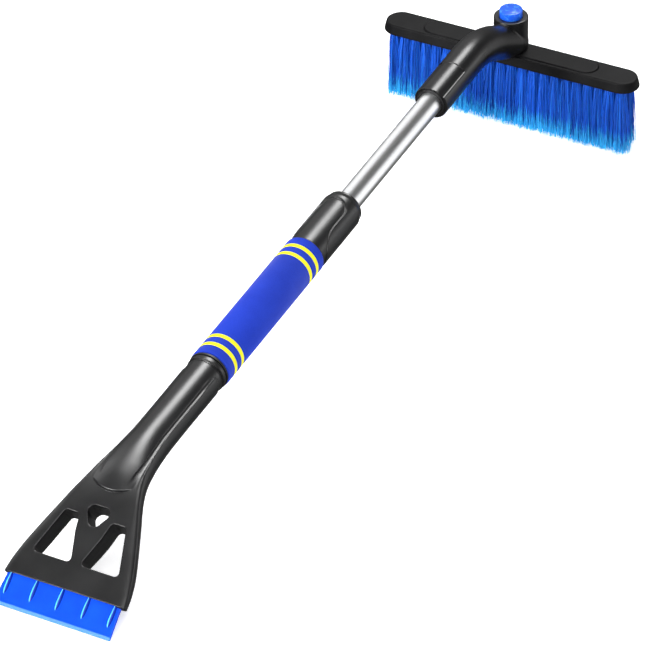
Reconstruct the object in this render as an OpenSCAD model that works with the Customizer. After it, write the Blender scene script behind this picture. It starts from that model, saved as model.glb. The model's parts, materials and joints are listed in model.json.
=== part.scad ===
// Telescoping snow brush with a swivelling brush head and a removable ice scraper.
//
// The pole runs along Y, the brush block along X, and Z points up. The tool lies
// on its bristle tips and on the edge of the scraper blade, both at Z = 0.
// Distances called "s" are measured down the pole from the swivel hub's axis, and
// distances called "l" down the scraper plate from the bend where it starts.

/* [Brush block] */
// Length of the brush block
block_l = 270; // [220:1:340]
// Width of the block at the bottom of its skirt
block_w = 34; // [33:0.5:40]
// Width of the block's top face
block_top_w = 29; // [28.5:0.5:32]
// Height of the block's side wall
block_h = 10; // [9.5:0.25:12]
// Height of the raised deck on top of the block
deck_h = 1.5; // [1:0.25:2]
// Length of the raised deck
deck_l = 184; // [120:1:200]

/* [Bristles] */
// Length of the bristles below the skirt
bristle_l = 68.5; // [50:0.5:80]
// Tufts in the two outer rows
tuft_count = 22; // [10:2:26]
// Spacing of the tufts along a row
tuft_pitch = 11.5; // [10.5:0.1:12]
// Spacing of the rows
row_pitch = 8.6; // [8.6:0.1:9]
// Radius of a tuft where it leaves the block
tuft_r = 3.2; // [2:0.1:3.3]
// Radius of a tuft at its tip
tip_r = 5; // [3:0.1:5]

/* [Swivel hub] */
// Outer radius of the hub
hub_r = 16.7; // [16:0.1:18]
// Height of the hub
hub_h = 34; // [33:0.5:38]
// Radius of the release button
button_r = 11.2; // [11:0.1:11.5]
// How far the button stands above the hub
button_out = 8; // [6:0.5:9]
// How far the button presses in
button_travel = 4; // [3:0.5:4]

/* [Neck] */
// Outer radius of the neck and its socket
neck_r = 16.8; // [16.5:0.1:18]
// How steeply the neck rises out of the hub
neck_slope = 27; // [20:1:30]
// Radius of the neck's bend
neck_bend_r = 110; // [90:1:120]
// Distance of the bend's corner from the hub axis
neck_corner_s = 69; // [66:1:80]
// Distance of the socket's mouth
mouth_s = 171; // [168:1:180]

/* [Pole] */
// Height of the pole's axis above the floor at the hub
pole_z = 125; // [124:0.5:130]
// Slope of the pole down to the scraper
pole_tilt = 4.3; // [3.5:0.1:4.6]
// Outer radius of the sliding inner tube
inner_r = 11; // [11:0.1:11]
// Outer radius of the fixed outer tube
outer_r = 13; // [13:0.1:13]
// Wall of both tubes
tube_wall = 1.2; // [1:0.1:1.2]
// How far the inner tube slides in
pole_travel = 170; // [100:5:170]

/* [Collar and grip] */
// Distance of the lock collar's top end
collar_s = 344; // [344:1:360]
// Length of the lock collar
collar_l = 76; // [76:1:84]
// Outer radius of the collar's raised shell
collar_r = 19.1; // [18.9:0.1:20]
// Outer radius of the foam grip
foam_r = 19.4; // [18.5:0.1:21]
// Length of the foam grip
foam_l = 175; // [170:1:180]
// Width of a stripe on the grip
stripe_w = 4.4; // [3:0.1:5]
// Distance of the stripes from the ends of the grip
stripe_at = [12.5, 24.5];

/* [Scraper] */
// Outer radius of the scraper's tube
socket_r = 17.6; // [17.4:0.1:18]
// Distance of the bend between the tube and the plate
bend_s = 761; // [755:1:770]
// Length of the plate below the bend
plate_l = 100; // [98:1:105]
// Half of the plate's width at the blade
plate_w = 58.5; // [56:0.5:62]
// How far the blade stands out of the plate
blade_out = 29; // [25:0.5:30]
// Half of the blade's width at its edge
blade_w = 56.5; // [54:0.5:58]
// Spacing of the ribs on the blade
rib_pitch = 25; // [20:0.5:25]

/* [Hidden] */
$fn = 64;

// Clearances: of a shaft in its bore, and of parts that only pass each other.
running = 0.06;
pass = 0.3;
eps = 0.01;

// Heights of the brush head.
skirt_z = bristle_l;
block_z = skirt_z + block_h;
deck_z = block_z + deck_h;
cavity_w = 25.6;
cavity_z = block_z - 2.2;
plate_z = skirt_z + 0.4;
plate_t = 3.2;

// Heights inside the hub, from the bearing up to the button.
hub_z = deck_z + pass;
hub_top = hub_z + hub_h;
shelf_z = hub_z + 6;
key_r = 6.5;
key_top = shelf_z + 16;
ring_z = key_top - 4.6;
ring_t = 4.2;
chamber_r = 10.9;
seat_z = ring_z + ring_t + 0.2;
button_top = hub_top + button_out;

// Lengths along the pole.
plug_s = mouth_s - 58;
neck_turn = neck_slope + pole_tilt;
neck_tangent = neck_bend_r * tan(neck_turn / 2);
latch_s = plug_s + 23;
collet_s = collar_s + 6;
shoulder_s = collar_s + 27;
foam_s = collar_s + collar_l + 0.5;
foam_end = foam_s + foam_l;
rim_s = foam_end + 3.5;
inner_end = shoulder_s + 59;
outer_end = rim_s + 52;
lower_latch_s = rim_s + 29;

// The plate slopes so that the blade's edge touches the floor.
edge_l = plate_l + blade_out;
edge_n = 0.4;
edge_drop = pole_z - bend_s * sin(pole_tilt);
plate_slope = asin(edge_drop / norm([edge_l, edge_n])) - atan2(edge_n, edge_l);
plate_bend = plate_slope - pole_tilt;

// The hub's place along Y puts the middle of the whole tool at Y = 0.
reach = bend_s * cos(pole_tilt) + edge_l * cos(plate_slope) + edge_n * sin(plate_slope);
hub_y = (reach - block_w / 2) / 2;

black = [0.07, 0.07, 0.075];
blue = [0.05, 0.2, 0.9];
silver = [0.82, 0.83, 0.85];
steel = [0.55, 0.56, 0.58];

// ---- Frames ----

// Local Z runs down the pole towards the scraper, and local Y points up.
module on_pole(s = 0)
    translate([0, hub_y, pole_z]) rotate([90 + pole_tilt, 0, 0])
        translate([0, 0, s]) children();

// Local Z runs down the scraper plate, and local Y is its upward normal.
module on_plate(l = 0)
    on_pole(bend_s) rotate([plate_bend, 0, 0]) translate([0, 0, l]) children();

module at_hub(z = 0) translate([0, hub_y, z]) children();

// A side view drawn as [local Z, local Y] and extruded along X.
module side_extrude(width)
    rotate([0, -90, 0]) linear_extrude(width, center = true) children();

// A top view drawn as [X, local Z] and extruded along local Y between two heights.
module top_extrude(low, high)
    translate([0, high, 0]) rotate([90, 0, 0]) linear_extrude(high - low) children();

// ---- Shared shapes ----

module sleeve(s0, s1, r, bore)
    translate([0, 0, s0]) difference() {
        cylinder(h = s1 - s0, r = r);
        translate([0, 0, -1]) cylinder(h = s1 - s0 + 2, r = bore);
    }

module stadium(length, width)
    union() {
        square([length - width, width], center = true);
        for (side = [-1, 1]) translate([side * (length - width) / 2, 0]) circle(d = width);
    }

// A stadium whose walls lean in, made of two cones and a prism.
module leaning_stadium(length, low_w, high_w, h) {
    straight = length - low_w;
    for (side = [-1, 1]) translate([side * straight / 2, 0, 0])
        cylinder(h = h, r1 = low_w / 2, r2 = high_w / 2);
    rotate([90, 0, 90]) linear_extrude(straight, center = true)
        polygon([[-low_w / 2, 0], [low_w / 2, 0], [high_w / 2, h], [-high_w / 2, h]]);
}

// Points of a polygon whose corners are rounded to radius r.
function unit(v) = v / norm(v);
function corner(a, b, c, r, steps = 6) =
    let (u = unit(a - b), w = unit(c - b),
         half = acos(u * w) / 2,
         centre = b + unit(u + w) * r / sin(half),
         first = b + u * r / tan(half) - centre,
         turn = sign(u[0] * w[1] - u[1] * w[0]) * (180 - 2 * half))
    [for (i = [0:steps]) let (t = -turn * i / steps)
        centre + [first[0] * cos(t) - first[1] * sin(t), first[0] * sin(t) + first[1] * cos(t)]];
function rounded(points, r) =
    let (n = len(points))
    [for (i = [0:n - 1]) each corner(points[(i + n - 1) % n], points[i], points[(i + 1) % n], r)];

// A closed skin over rings of equal length, with flat ends.
module skin(rings) {
    n = len(rings[0]);
    last = len(rings) - 1;
    polyhedron(
        points = [for (ring = rings) each ring],
        faces = concat(
            [[for (i = [0:n - 1]) i]],
            [for (k = [0:last - 1], i = [0:n - 1]) let (j = (i + 1) % n)
                each [[k * n + i, (k + 1) * n + i, (k + 1) * n + j],
                      [k * n + i, (k + 1) * n + j, k * n + j]]],
            [[for (i = [n - 1:-1:0]) last * n + i]]));
}

// Smooth curve through a table of rows [position, value, value, ...].
function table_slope(t, i, c) =
    let (a = max(i - 1, 0), b = min(i + 1, len(t) - 1)) (t[b][c] - t[a][c]) / (t[b][0] - t[a][0]);
function table_row(t, u, i = 0) = (i >= len(t) - 2 || u <= t[i + 1][0]) ? i : table_row(t, u, i + 1);
function smooth(t, u, c) =
    let (i = table_row(t, u), h = t[i + 1][0] - t[i][0], k = (u - t[i][0]) / h)
    (1 + 2 * k) * pow(1 - k, 2) * t[i][c] + k * k * (3 - 2 * k) * t[i + 1][c]
    + k * pow(1 - k, 2) * h * table_slope(t, i, c) - k * k * (1 - k) * h * table_slope(t, i + 1, c);

// A leaf bent into a V, as a side view: two legs that meet at the middle point.
module leaf(a, bend, b, t = 0.6)
    polygon([a, bend, b, b - [0, t], bend - [2.2 * t, 0], a + [0, t]]);

// ---- Brush head ----

module brush_cover()
    color(black) at_hub() difference() {
        union() {
            translate([0, 0, skirt_z]) leaning_stadium(block_l, block_w, block_top_w, block_h);
            translate([0, 0, block_z - 1]) linear_extrude(deck_h + 1) stadium(deck_l, block_top_w - 5);
        }
        translate([0, 0, skirt_z - 1]) linear_extrude(cavity_z - skirt_z + 1)
            stadium(block_l - block_w + cavity_w, cavity_w);
        translate([0, 0, cavity_z - 1]) cylinder(h = 10, r = 9.2);
        post_screw_holes(cavity_z - 1, deck_z - 0.8, 1.3);
    }

module post_screw_holes(z0, z1, r)
    for (a = [45:90:315]) rotate(a) translate([10.7, 0, z0]) cylinder(h = z1 - z0, r = r);

// Places of the tufts in one row, counted from the front.
function row_y(row) = (row - 1) * row_pitch;
function row_xs(row) =
    let (n = row == 1 ? tuft_count - 1 : tuft_count) [for (i = [0:n - 1]) (i - (n - 1) / 2) * tuft_pitch];

module tuft_plate()
    color(black) at_hub(plate_z) difference() {
        linear_extrude(plate_t) stadium(block_l - block_w + cavity_w - 0.2, cavity_w - 0.2);
        for (row = [0:2], x = row_xs(row))
            translate([x, row_y(row), -1]) cylinder(h = plate_t + 0.3, r = tuft_r + 0.05);
    }

module tufts(row)
    color([0.06, 0.24, 0.85]) at_hub() for (x = row_xs(row)) translate([x, row_y(row), 0]) {
        cylinder(h = plate_z, r1 = tip_r, r2 = tuft_r);
        translate([0, 0, plate_z - eps]) cylinder(h = plate_t - 0.9, r = tuft_r);
    }

module pivot_post()
    color(black) at_hub() difference() {
        union() {
            translate([0, 0, cavity_z - 2.2]) cylinder(h = 2.1, r = 12.5);
            translate([0, 0, cavity_z - 1]) cylinder(h = shelf_z + 0.2 - cavity_z + 1, r = 9);
            translate([0, 0, shelf_z]) cylinder(h = key_top - shelf_z, r = key_r, $fn = 6);
        }
        post_screw_holes(cavity_z - 3, cavity_z, 1.5);
        translate([0, 0, shelf_z - 4]) cylinder(h = 40, r = 2.3);
    }

module post_screws()
    color(steel) at_hub() {
        post_screw_holes(cavity_z - 2.6, deck_z - 1, 1.2);
        difference() {
            post_screw_holes(cavity_z - 3.7, cavity_z - 2.3, 1.9);
            for (a = [45:90:315]) rotate(a) translate([10.7, 0, cavity_z - 3.9])
                for (turn = [0, 90]) rotate(turn) cube([2.4, 0.6, 1.6], center = true);
        }
    }

module pivot_washer()
    color(steel) at_hub() sleeve(shelf_z + 0.3, shelf_z + 1.5, 10.2, key_r + 0.1);

module pivot_screw()
    color(steel) at_hub() difference() {
        union() {
            translate([0, 0, shelf_z - 3.5]) cylinder(h = key_top - shelf_z + 3.6, r = 2.2);
            translate([0, 0, key_top + 0.05]) cylinder(h = 2.6, r1 = 5, r2 = 3.6);
        }
        translate([0, 0, key_top + 2.7]) for (turn = [0, 90]) rotate(turn)
            cube([4.6, 1.1, 2.6], center = true);
    }

// Turns with the block on its six-sided key. Its teeth face the hub's pockets.
module lock_ring()
    color(black) at_hub(ring_z) difference() {
        union() {
            cylinder(h = ring_t, r = 9.6);
            for (a = [0:45:315]) rotate(a) translate([9.2, -1.6, 0]) cube([1.3, 3.2, ring_t]);
        }
        translate([0, 0, -1]) cylinder(h = ring_t + 2, r = key_r + 0.3, $fn = 6);
    }

module button_spring() {
    turns = 3.5;
    steps = 14;
    wire = 0.6;
    r = 8.3;
    low = shelf_z + 1.6 + wire;
    high = ring_z - 0.1 - wire;
    count = turns * steps;
    color(steel) at_hub() skin([for (k = [0:count]) let (a = 360 * k / steps)
        [for (i = [0:7]) let (b = -45 * i, rr = r + wire * cos(b))
            [rr * cos(a), rr * sin(a), low + (high - low) * k / count + wire * sin(b)]]]);
}

// ---- Neck ----

module release_button()
    color(blue) at_hub() difference() {
        union() {
            translate([0, 0, seat_z]) cylinder(h = button_top - 3 - seat_z, r = button_r);
            translate([0, 0, button_top - 3]) rotate_extrude() intersection() {
                square([button_r, 3]);
                translate([0, -button_r * 2.2 + 3]) circle(r = button_r * 2.2);
                union() {
                    square([button_r - 2, 3]);
                    square([button_r, 0.8]);
                    translate([button_r - 2, 0.8]) circle(r = 2);
                }
            }
        }
        translate([0, 0, seat_z - 1]) cylinder(h = key_top + button_travel + 3.4 - seat_z + 1, r = 9.2);
    }

// The neck's tube from the hub, round its bend and on to the given distance.
module neck_run(r, start, end_s) {
    corner_y = neck_corner_s * cos(pole_tilt);
    corner_z = pole_z - neck_corner_s * sin(pole_tilt);
    run = corner_y / cos(neck_slope);
    at_hub(corner_z - corner_y * tan(neck_slope)) rotate([90 - neck_slope, 0, 0])
        translate([0, 0, start]) cylinder(h = run - neck_tangent - start, r = r + 0.1);
    on_neck_bend(0) rotate([-90, 0, 0]) rotate([0, -90, 0])
        rotate_extrude(angle = neck_turn) translate([neck_bend_r, 0]) circle(r = r);
    on_pole(neck_corner_s + neck_tangent)
        cylinder(h = end_s - neck_corner_s - neck_tangent, r = r);
}

// The centre of the neck's bend, turned back towards the hub by an angle.
module on_neck_bend(a)
    on_pole(neck_corner_s + neck_tangent) translate([0, -neck_bend_r, 0]) rotate([-a, 0, 0]) children();

module neck_arm() {
    panel_s = mouth_s - 45;
    panel_y = neck_r * sin(35);
    root_z = pole_z - neck_corner_s * sin(pole_tilt) - neck_corner_s * cos(pole_tilt) * tan(neck_slope);
    color(black) difference() {
        union() {
            neck_run(neck_r, 0, mouth_s);
            at_hub(root_z) sphere(r = neck_r + 0.2);
            at_hub(hub_z) cylinder(h = hub_h - 1, r = hub_r);
            at_hub(hub_top - 1) cylinder(h = 1, r1 = hub_r, r2 = hub_r - 0.8);
        }
        // flat underside over the block's deck
        at_hub(hub_z - 60) translate([0, -40, 0]) linear_extrude(60) square([80, 140], center = true);
        // bearing, chamber for the lock ring, and the button's bore
        at_hub(hub_z - 1) cylinder(h = 20, r = 9 + running);
        at_hub(shelf_z) cylinder(h = 40, r = chamber_r);
        at_hub(shelf_z) for (a = [0:45:315]) rotate(a)
            translate([chamber_r - 1, -2, 0]) cube([2, 4, seat_z - shelf_z]);
        at_hub(seat_z - 0.2 - button_travel) cylinder(h = 40, r = button_r + running);
        // hollow neck, and the socket for the pole
        neck_run(12.4, 30, plug_s + 2);
        on_pole() {
            translate([0, 0, plug_s - 1]) cylinder(h = 70, r = 13.5 + running);
            translate([0, 0, mouth_s - 2.8]) cylinder(h = 10, r = 14.7);
            // lead-in groove and hole for the latch, underneath
            translate([-3.9, -15.4, latch_s - 4]) cube([7.8, 10, mouth_s - latch_s + 10]);
            translate([0, -8, latch_s]) rotate([90, 0, 0]) cylinder(h = 12, r = 3.9);
            // shallow panel along the top of the socket
            difference() {
                translate([-20, panel_y, panel_s]) cube([40, 20, 60]);
                translate([0, 0, panel_s - 1]) cylinder(h = 62, r = neck_r - 0.8);
            }
        }
        // finger scallops under the bend
        for (a = [3.5, 12.5, 21.5]) on_neck_bend(a)
            translate([0, neck_bend_r - neck_r - 9 + 2.4, 0]) rotate([0, 90, 0])
                cylinder(h = 60, r = 9, center = true);
    }
}

// ---- Inner tube ----

module inner_tube()
    color(silver) on_pole() difference() {
        sleeve(plug_s + 4, inner_end, inner_r, inner_r - tube_wall);
        translate([0, 0, latch_s]) rotate([90, 0, 0]) cylinder(h = 20, r = 3.8);
    }

module top_plug()
    color(black) on_pole() difference() {
        union() {
            translate([0, 0, plug_s]) cylinder(h = 1.2, r1 = 12.5, r2 = 13.5);
            translate([0, 0, plug_s + 1.2]) cylinder(h = mouth_s - plug_s - 1.2, r = 13.5);
            translate([0, 0, mouth_s - 2.4]) cylinder(h = 2.6, r = 14.4);
        }
        translate([0, 0, plug_s + 4]) cylinder(h = 80, r = inner_r);
        translate([0, 0, plug_s - 1]) cylinder(h = 10, r = 6);
        translate([-4.5, -14, plug_s + 9]) cube([9, 1.2, 38]);
        translate([0, 0, latch_s]) rotate([90, 0, 0]) cylinder(h = 20, r = 3.5 + running);
    }

// The rings on which the inner tube is guided: one stops it at the collet.
module guide_rings()
    color(black) on_pole() {
        sleeve(shoulder_s + 0.3, shoulder_s + 8, outer_r - tube_wall - running, inner_r);
        sleeve(inner_end - 18, inner_end, outer_r - tube_wall - running, inner_r);
        translate([0, 0, inner_end - eps]) cylinder(h = 3, r = outer_r - tube_wall - running);
    }

module top_latch()
    color(black) on_pole(latch_s) {
        translate([0, -7, 0]) rotate([90, 0, 0]) cylinder(h = 7.3, r = 3.5);
        translate([0, -14.3 + eps, 0]) rotate([90, 0, 0]) cylinder(h = 0.8, r1 = 3.5, r2 = 2.6);
        translate([0, -6.9, 0]) rotate([90, 0, 0]) cylinder(h = 1.4, r = 4.5);
    }

module top_latch_spring()
    color(steel) on_pole() side_extrude(6)
        leaf([latch_s - 4, -6.8], [latch_s + 26, 1], [latch_s - 4, 9.1]);

// ---- Handle ----

module outer_tube()
    color(silver) on_pole() difference() {
        sleeve(shoulder_s, outer_end, outer_r, outer_r - tube_wall);
        translate([-4.8, -20, lower_latch_s - 6.8]) cube([9.6, 20, 13.6]);
    }

module collet()
    color(black) on_pole() difference() {
        union() {
            translate([0, 0, collet_s]) cylinder(h = 1.5, r1 = 15, r2 = 16.2);
            translate([0, 0, collet_s + 1.5]) cylinder(h = collar_s + collar_l - collet_s - 1.5, r = 16.2);
            translate([0, 0, collar_s + 60]) cylinder(h = 4, r = 16.7);
        }
        translate([0, 0, collet_s - 1]) cylinder(h = 40, r = inner_r + running);
        translate([0, 0, shoulder_s]) cylinder(h = 80, r = outer_r);
        for (a = [0, 90]) rotate(a) translate([-20, -0.8, collet_s - 1]) cube([40, 1.6, 13]);
    }

module foam_grip()
    color([0.06, 0.2, 0.82]) on_pole(foam_s) difference() {
        rotate_extrude() difference() {
            translate([outer_r, 0]) square([foam_r - outer_r, foam_l]);
            for (end = [0, 1]) translate([foam_r, end * foam_l]) rotate(45) square(1.2, center = true);
        }
        stripe_rings(foam_r - 0.5, foam_r + 2);
    }

module stripe_rings(r0, r1)
    for (at = stripe_at, s = [at, foam_l - at])
        sleeve(s - stripe_w / 2, s + stripe_w / 2, r1, r0);

module grip_stripes()
    color([0.95, 0.9, 0.12]) on_pole(foam_s) stripe_rings(foam_r - 0.5, foam_r + 0.05);

module lower_plug()
    color(black) on_pole() difference() {
        union() {
            translate([0, 0, foam_end + 0.2]) cylinder(h = 0.8, r1 = 18.2, r2 = 18.9);
            translate([0, 0, foam_end + 1]) cylinder(h = 1.6, r = 18.9);
            translate([0, 0, foam_end + 1]) cylinder(h = outer_end - foam_end + 2, r = 14.7);
            translate([0, 0, outer_end + 3]) cylinder(h = 1.2, r1 = 14.7, r2 = 13.6);
        }
        translate([0, 0, foam_end - 1]) cylinder(h = outer_end - foam_end + 1, r = outer_r);
        translate([0, 0, outer_end - 1]) cylinder(h = 10, r = 6.5);
        translate([-4.6, -20, lower_latch_s - 6.6]) cube([9.2, 20, 13.2]);
        for (side = [-1, 1]) translate([side * 10.2 - 1, -16, lower_latch_s - 14]) cube([2, 6, 28]);
    }

module lower_latch()
    color(black) on_pole(lower_latch_s) {
        side_extrude(9) polygon([[-6.5, -8.6], [6.5, -8.6], [6.5, -15.2], [5.5, -16.2], [-4, -16.2], [-6.5, -15]]);
        translate([-5.5, -10, -8.5]) cube([11, 1.4, 17]);
    }

module lower_latch_spring()
    color(steel) on_pole() side_extrude(8)
        leaf([lower_latch_s - 8, -8.5], [lower_latch_s + 20, 1], [lower_latch_s - 8, 11]);

// ---- Lock collar ----

// The raised shell's side view: a ring at the top, two side panels that end in a
// slanting sweep, and between them the rounded tip of the lower tongue.
function collar_side() =
    let (r = collar_r + 2, edge = collar_r * sin(45))
    concat([[0, -r], [0, r], [10.5, r]],
        [for (i = [0:6]) let (a = 90 - 15 * i) [24 - 13 * sin(a), edge + (collar_r - edge) * sin(a) ]],
        [for (i = [0:8]) let (a = 10 * i) [46 + 26 * sin(a), edge - 22 * (1 - cos(a))]],
        [[72.5, -r]]);

module lock_collar()
    color(black) on_pole(collar_s) difference() {
        union() {
            translate([0, 0, 8]) cylinder(h = collar_l - 9, r = collar_r - 0.8);
            translate([0, 0, collar_l - 1]) cylinder(h = 1, r1 = collar_r - 0.8, r2 = collar_r - 1.5);
            intersection() {
                side_extrude(60) polygon(collar_side());
                union() {
                    cylinder(h = 2.5, r1 = collar_r - 3.4, r2 = collar_r - 1.6);
                    translate([0, 0, 2.5]) cylinder(h = 5, r1 = collar_r - 1.6, r2 = collar_r);
                    translate([0, 0, 7.5]) cylinder(h = 80, r = collar_r);
                }
            }
        }
        translate([0, 0, -1]) cylinder(h = 20, r = inner_r + pass);
        translate([0, 0, collet_s - collar_s - 0.4]) cylinder(h = 90, r = 16.2 + running);
        translate([0, 0, 59.7]) cylinder(h = 4.6, r = 17);
    }

// ---- Scraper ----

// Rings of the fan, as [u, half width, top, upper height, lower depth, squareness],
// where u is the distance along the tube and then along the plate.
function fan_table() = [
    [rim_s + 13, 18.3, 9.6, 18.3, 18.3, 2],
    [bend_s - 70, 18.4, 9.6, 18.4, 18.4, 2],
    [bend_s - 40, 20.4, 9.4, 17, 19, 2.1],
    [bend_s - 16, 24.2, 8, 14, 20, 2.3],
    [bend_s, 28, 6.2, 11, 20.5, 2.6],
    [bend_s + 20, 34.8, 5.1, 8.5, 18.5, 3],
    [bend_s + 45, 44, 5.1, 7, 17, 3.3],
    [bend_s + 70, plate_w - 6.2, 5.1, 6.4, 15, 3.4],
    [bend_s + 88, plate_w - 1.8, 5.1, 6, 9, 3.4],
    [bend_s + plate_l, plate_w, 5.1, 5.8, 4.4, 3.2]];

// Rings of the barrel, which flattens out of the tube and ends in a rounded lip,
// as [u, half width, top, upper height, lower depth, squareness].
function barrel_table() = [
    [bend_s - 60, 17.45, 40, 17.45, 17.45, 2],
    [bend_s - 48, 19, 40, 17.2, 18, 2.05],
    [bend_s - 30, 21.4, 40, 15, 18, 2.2],
    [bend_s - 12, 23.6, 40, 11.6, 18, 2.35],
    [bend_s, 23.8, 40, 8.8, 17, 2.4],
    [bend_s + 6, 20.5, 40, 7, 16, 2.4],
    [bend_s + 9, 14, 40, 5.4, 14, 2.4]];

// The fan's centre line and its slope: straight, round the bend, and straight again.
bend_reach = 22;
function fan_place(u) =
    let (r = bend_reach / tan(plate_bend / 2), d = u - bend_s)
    d < -bend_reach ? [0, u, 0]
    : d > bend_reach ? [-d * sin(plate_bend), bend_s + d * cos(plate_bend), plate_bend]
    : let (a = plate_bend * (d + bend_reach) / (2 * bend_reach))
      [r * cos(a) - r, bend_s - bend_reach + r * sin(a), a];

// How far a table's section reaches in the direction of angle a.
function reach(t, u, a) =
    let (e = smooth(t, u, 5), c = abs(cos(a)), s = sin(a),
         h = s > 0 ? smooth(t, u, 3) : smooth(t, u, 4),
         r = pow(pow(c / smooth(t, u, 1), e) + pow(abs(s) / h, e), -1 / e))
    s > 0 ? min(r, smooth(t, u, 2) / s) : r;

function fan_angle(i, count) =
    let (a = 360 * i / count, w = 0.42) a - 180 / PI * w * sin(2 * a) / 2;

function fan_ring(u, count = 48) =
    let (place = fan_place(u), b = barrel_table(),
         both = u >= b[0][0] && u <= b[len(b) - 1][0])
    [for (i = [0:count - 1])
        let (a = fan_angle(i, count),
             r = both ? max(reach(fan_table(), u, a), reach(b, u, a)) : reach(fan_table(), u, a),
             x = r * cos(a), n = r * sin(a))
        [x, place[0] + n * cos(place[2]), place[1] + n * sin(place[2])]];

module scraper_fan() {
    first = fan_table()[0][0];
    split = bend_s - 60;
    lip = bend_s + 9;
    last = bend_s + plate_l;
    skin([for (u = [first, (first + split) / 2, split - 0.5, split, split + 10, split + 20, split + 30,
            split + 38, split + 45, split + 51, split + 56, split + 61, split + 64.5, split + 67.2, lip, lip + 0.6,
            lip + 6, lip + 14, lip + 24, lip + 36, lip + 48, lip + 60, lip + 70, lip + 78, lip + 85, last]) fan_ring(u)]);
}

module window_outline() polygon(rounded([[16, 33.5], [29, 33.5], [41.5, 76.5], [4.5, 76.5], [13, 49]], 2.6));
module hang_hole_outline() polygon(rounded([[-12.5, 23], [12.5, 23], [0, 45.5]], 4));

module scraper_head()
    color(black) difference() {
        union() {
            on_pole() {
                translate([0, 0, rim_s]) cylinder(h = 4.5, r = 18.4);
                translate([0, 0, rim_s + 4]) cylinder(h = 3, r = 17.1);
                translate([0, 0, rim_s + 6.5]) cylinder(h = bend_s - rim_s - 63.5, r = socket_r);
                scraper_fan();
            }
        }
        on_pole() {
            translate([0, 0, rim_s - 1]) cylinder(h = 60, r = 14.7 + running);
            translate([0, 0, rim_s + 50]) cylinder(h = bend_s - rim_s - 102, r = 12.5);
            translate([-5, -16.5, rim_s - 1]) cube([10, 12, lower_latch_s - rim_s + 8.5]);
            translate([-5, -30, lower_latch_s - 7]) cube([10, 20, 14]);
        }
        on_plate() {
            top_extrude(-40, 20) for (side = [0, 1]) mirror([side, 0]) window_outline();
            top_extrude(-40, 20) hang_hole_outline();
            translate([-blade_w + 5.9, -0.1, plate_l - 12.1]) cube([2 * blade_w - 11.8, 3.4, 20]);
        }
    }

module scraper_blade()
    color(blue) on_plate() {
        intersection() {
            side_extrude(200) polygon([[plate_l - 12, 0], [plate_l - 12, 3.2], [plate_l, 3.2],
                [edge_l - 3, 1.4], [edge_l, edge_n], [edge_l, -edge_n]]);
            top_extrude(-10, 10) polygon([
                [blade_w - 6, plate_l - 12], [blade_w - 6, plate_l + 0.1], [blade_w - 2, plate_l + 0.1], [blade_w - 2, plate_l + 2], [blade_w, edge_l - 1.5], [blade_w - 1.2, edge_l],
                [1.2 - blade_w, edge_l], [-blade_w, edge_l - 1.5], [2 - blade_w, plate_l + 2], [2 - blade_w, plate_l + 0.1], [6 - blade_w, plate_l + 0.1], [6 - blade_w, plate_l - 12]]);
        }
        for (k = [-2:2]) translate([k * rib_pitch, 0, 0]) side_extrude(2.6)
            polygon([[plate_l + 0.3, 1.5], [plate_l + 0.3, 5], [plate_l + 10, 4.2], [plate_l + 20, 1]]);
    }

// ---- The whole tool ----

brush_cover();
tuft_plate();
tufts(0);  // tufts_front
tufts(1);  // tufts_middle
tufts(2);  // tufts_rear
pivot_post();
post_screws();
pivot_washer();
pivot_screw();
lock_ring();
button_spring();
release_button();
neck_arm();
inner_tube();
top_plug();
guide_rings();
top_latch();
top_latch_spring();
outer_tube();
collet();
foam_grip();
grip_stripes();
lower_plug();
lower_latch();
lower_latch_spring();
lock_collar();
scraper_head();
scraper_blade();
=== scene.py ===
"""Snow brush scraper: a telescoping pole with a foam grip, a swivelling brush and an ice scraper.

Lengths in this file are millimetres unless a name says otherwise. Two frames are used:
the hub frame, the world's axes with the swivel's axis at X = Y = 0 and the floor at Z = 0,
and the pole frame (x, n, s), with n upwards from the pole's axis and s down the pole.
"""
import json
import math

import bmesh
import bpy
import numpy as np
from bpy.props import FloatProperty, FloatVectorProperty, IntProperty, PointerProperty
from mathutils import Matrix, Quaternion, Vector


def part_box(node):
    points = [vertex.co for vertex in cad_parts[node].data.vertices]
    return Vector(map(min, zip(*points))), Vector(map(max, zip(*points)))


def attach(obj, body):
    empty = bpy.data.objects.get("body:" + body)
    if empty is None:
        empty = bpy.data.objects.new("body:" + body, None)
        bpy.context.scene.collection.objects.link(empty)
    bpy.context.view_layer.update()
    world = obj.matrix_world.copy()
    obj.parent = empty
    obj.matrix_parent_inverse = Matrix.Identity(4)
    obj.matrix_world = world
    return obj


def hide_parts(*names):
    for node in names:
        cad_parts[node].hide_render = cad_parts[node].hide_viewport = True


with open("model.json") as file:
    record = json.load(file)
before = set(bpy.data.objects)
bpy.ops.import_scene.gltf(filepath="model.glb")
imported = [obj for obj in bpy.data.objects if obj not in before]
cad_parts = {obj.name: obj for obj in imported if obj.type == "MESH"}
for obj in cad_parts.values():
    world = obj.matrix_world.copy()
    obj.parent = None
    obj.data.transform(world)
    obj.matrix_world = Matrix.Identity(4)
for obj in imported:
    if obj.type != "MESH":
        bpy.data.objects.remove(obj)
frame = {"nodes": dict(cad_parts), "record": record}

bl_info = {
    "name": "Snow Brush Scraper",
    "version": (1, 0, 0),
    "blender": (4, 5, 0),
    "location": "View3D > Sidebar > Snow Brush",
    "description": "Builds a telescoping snow brush with a foam grip and an ice scraper",
    "category": "Add Mesh",
}

MM = 0.001

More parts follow.
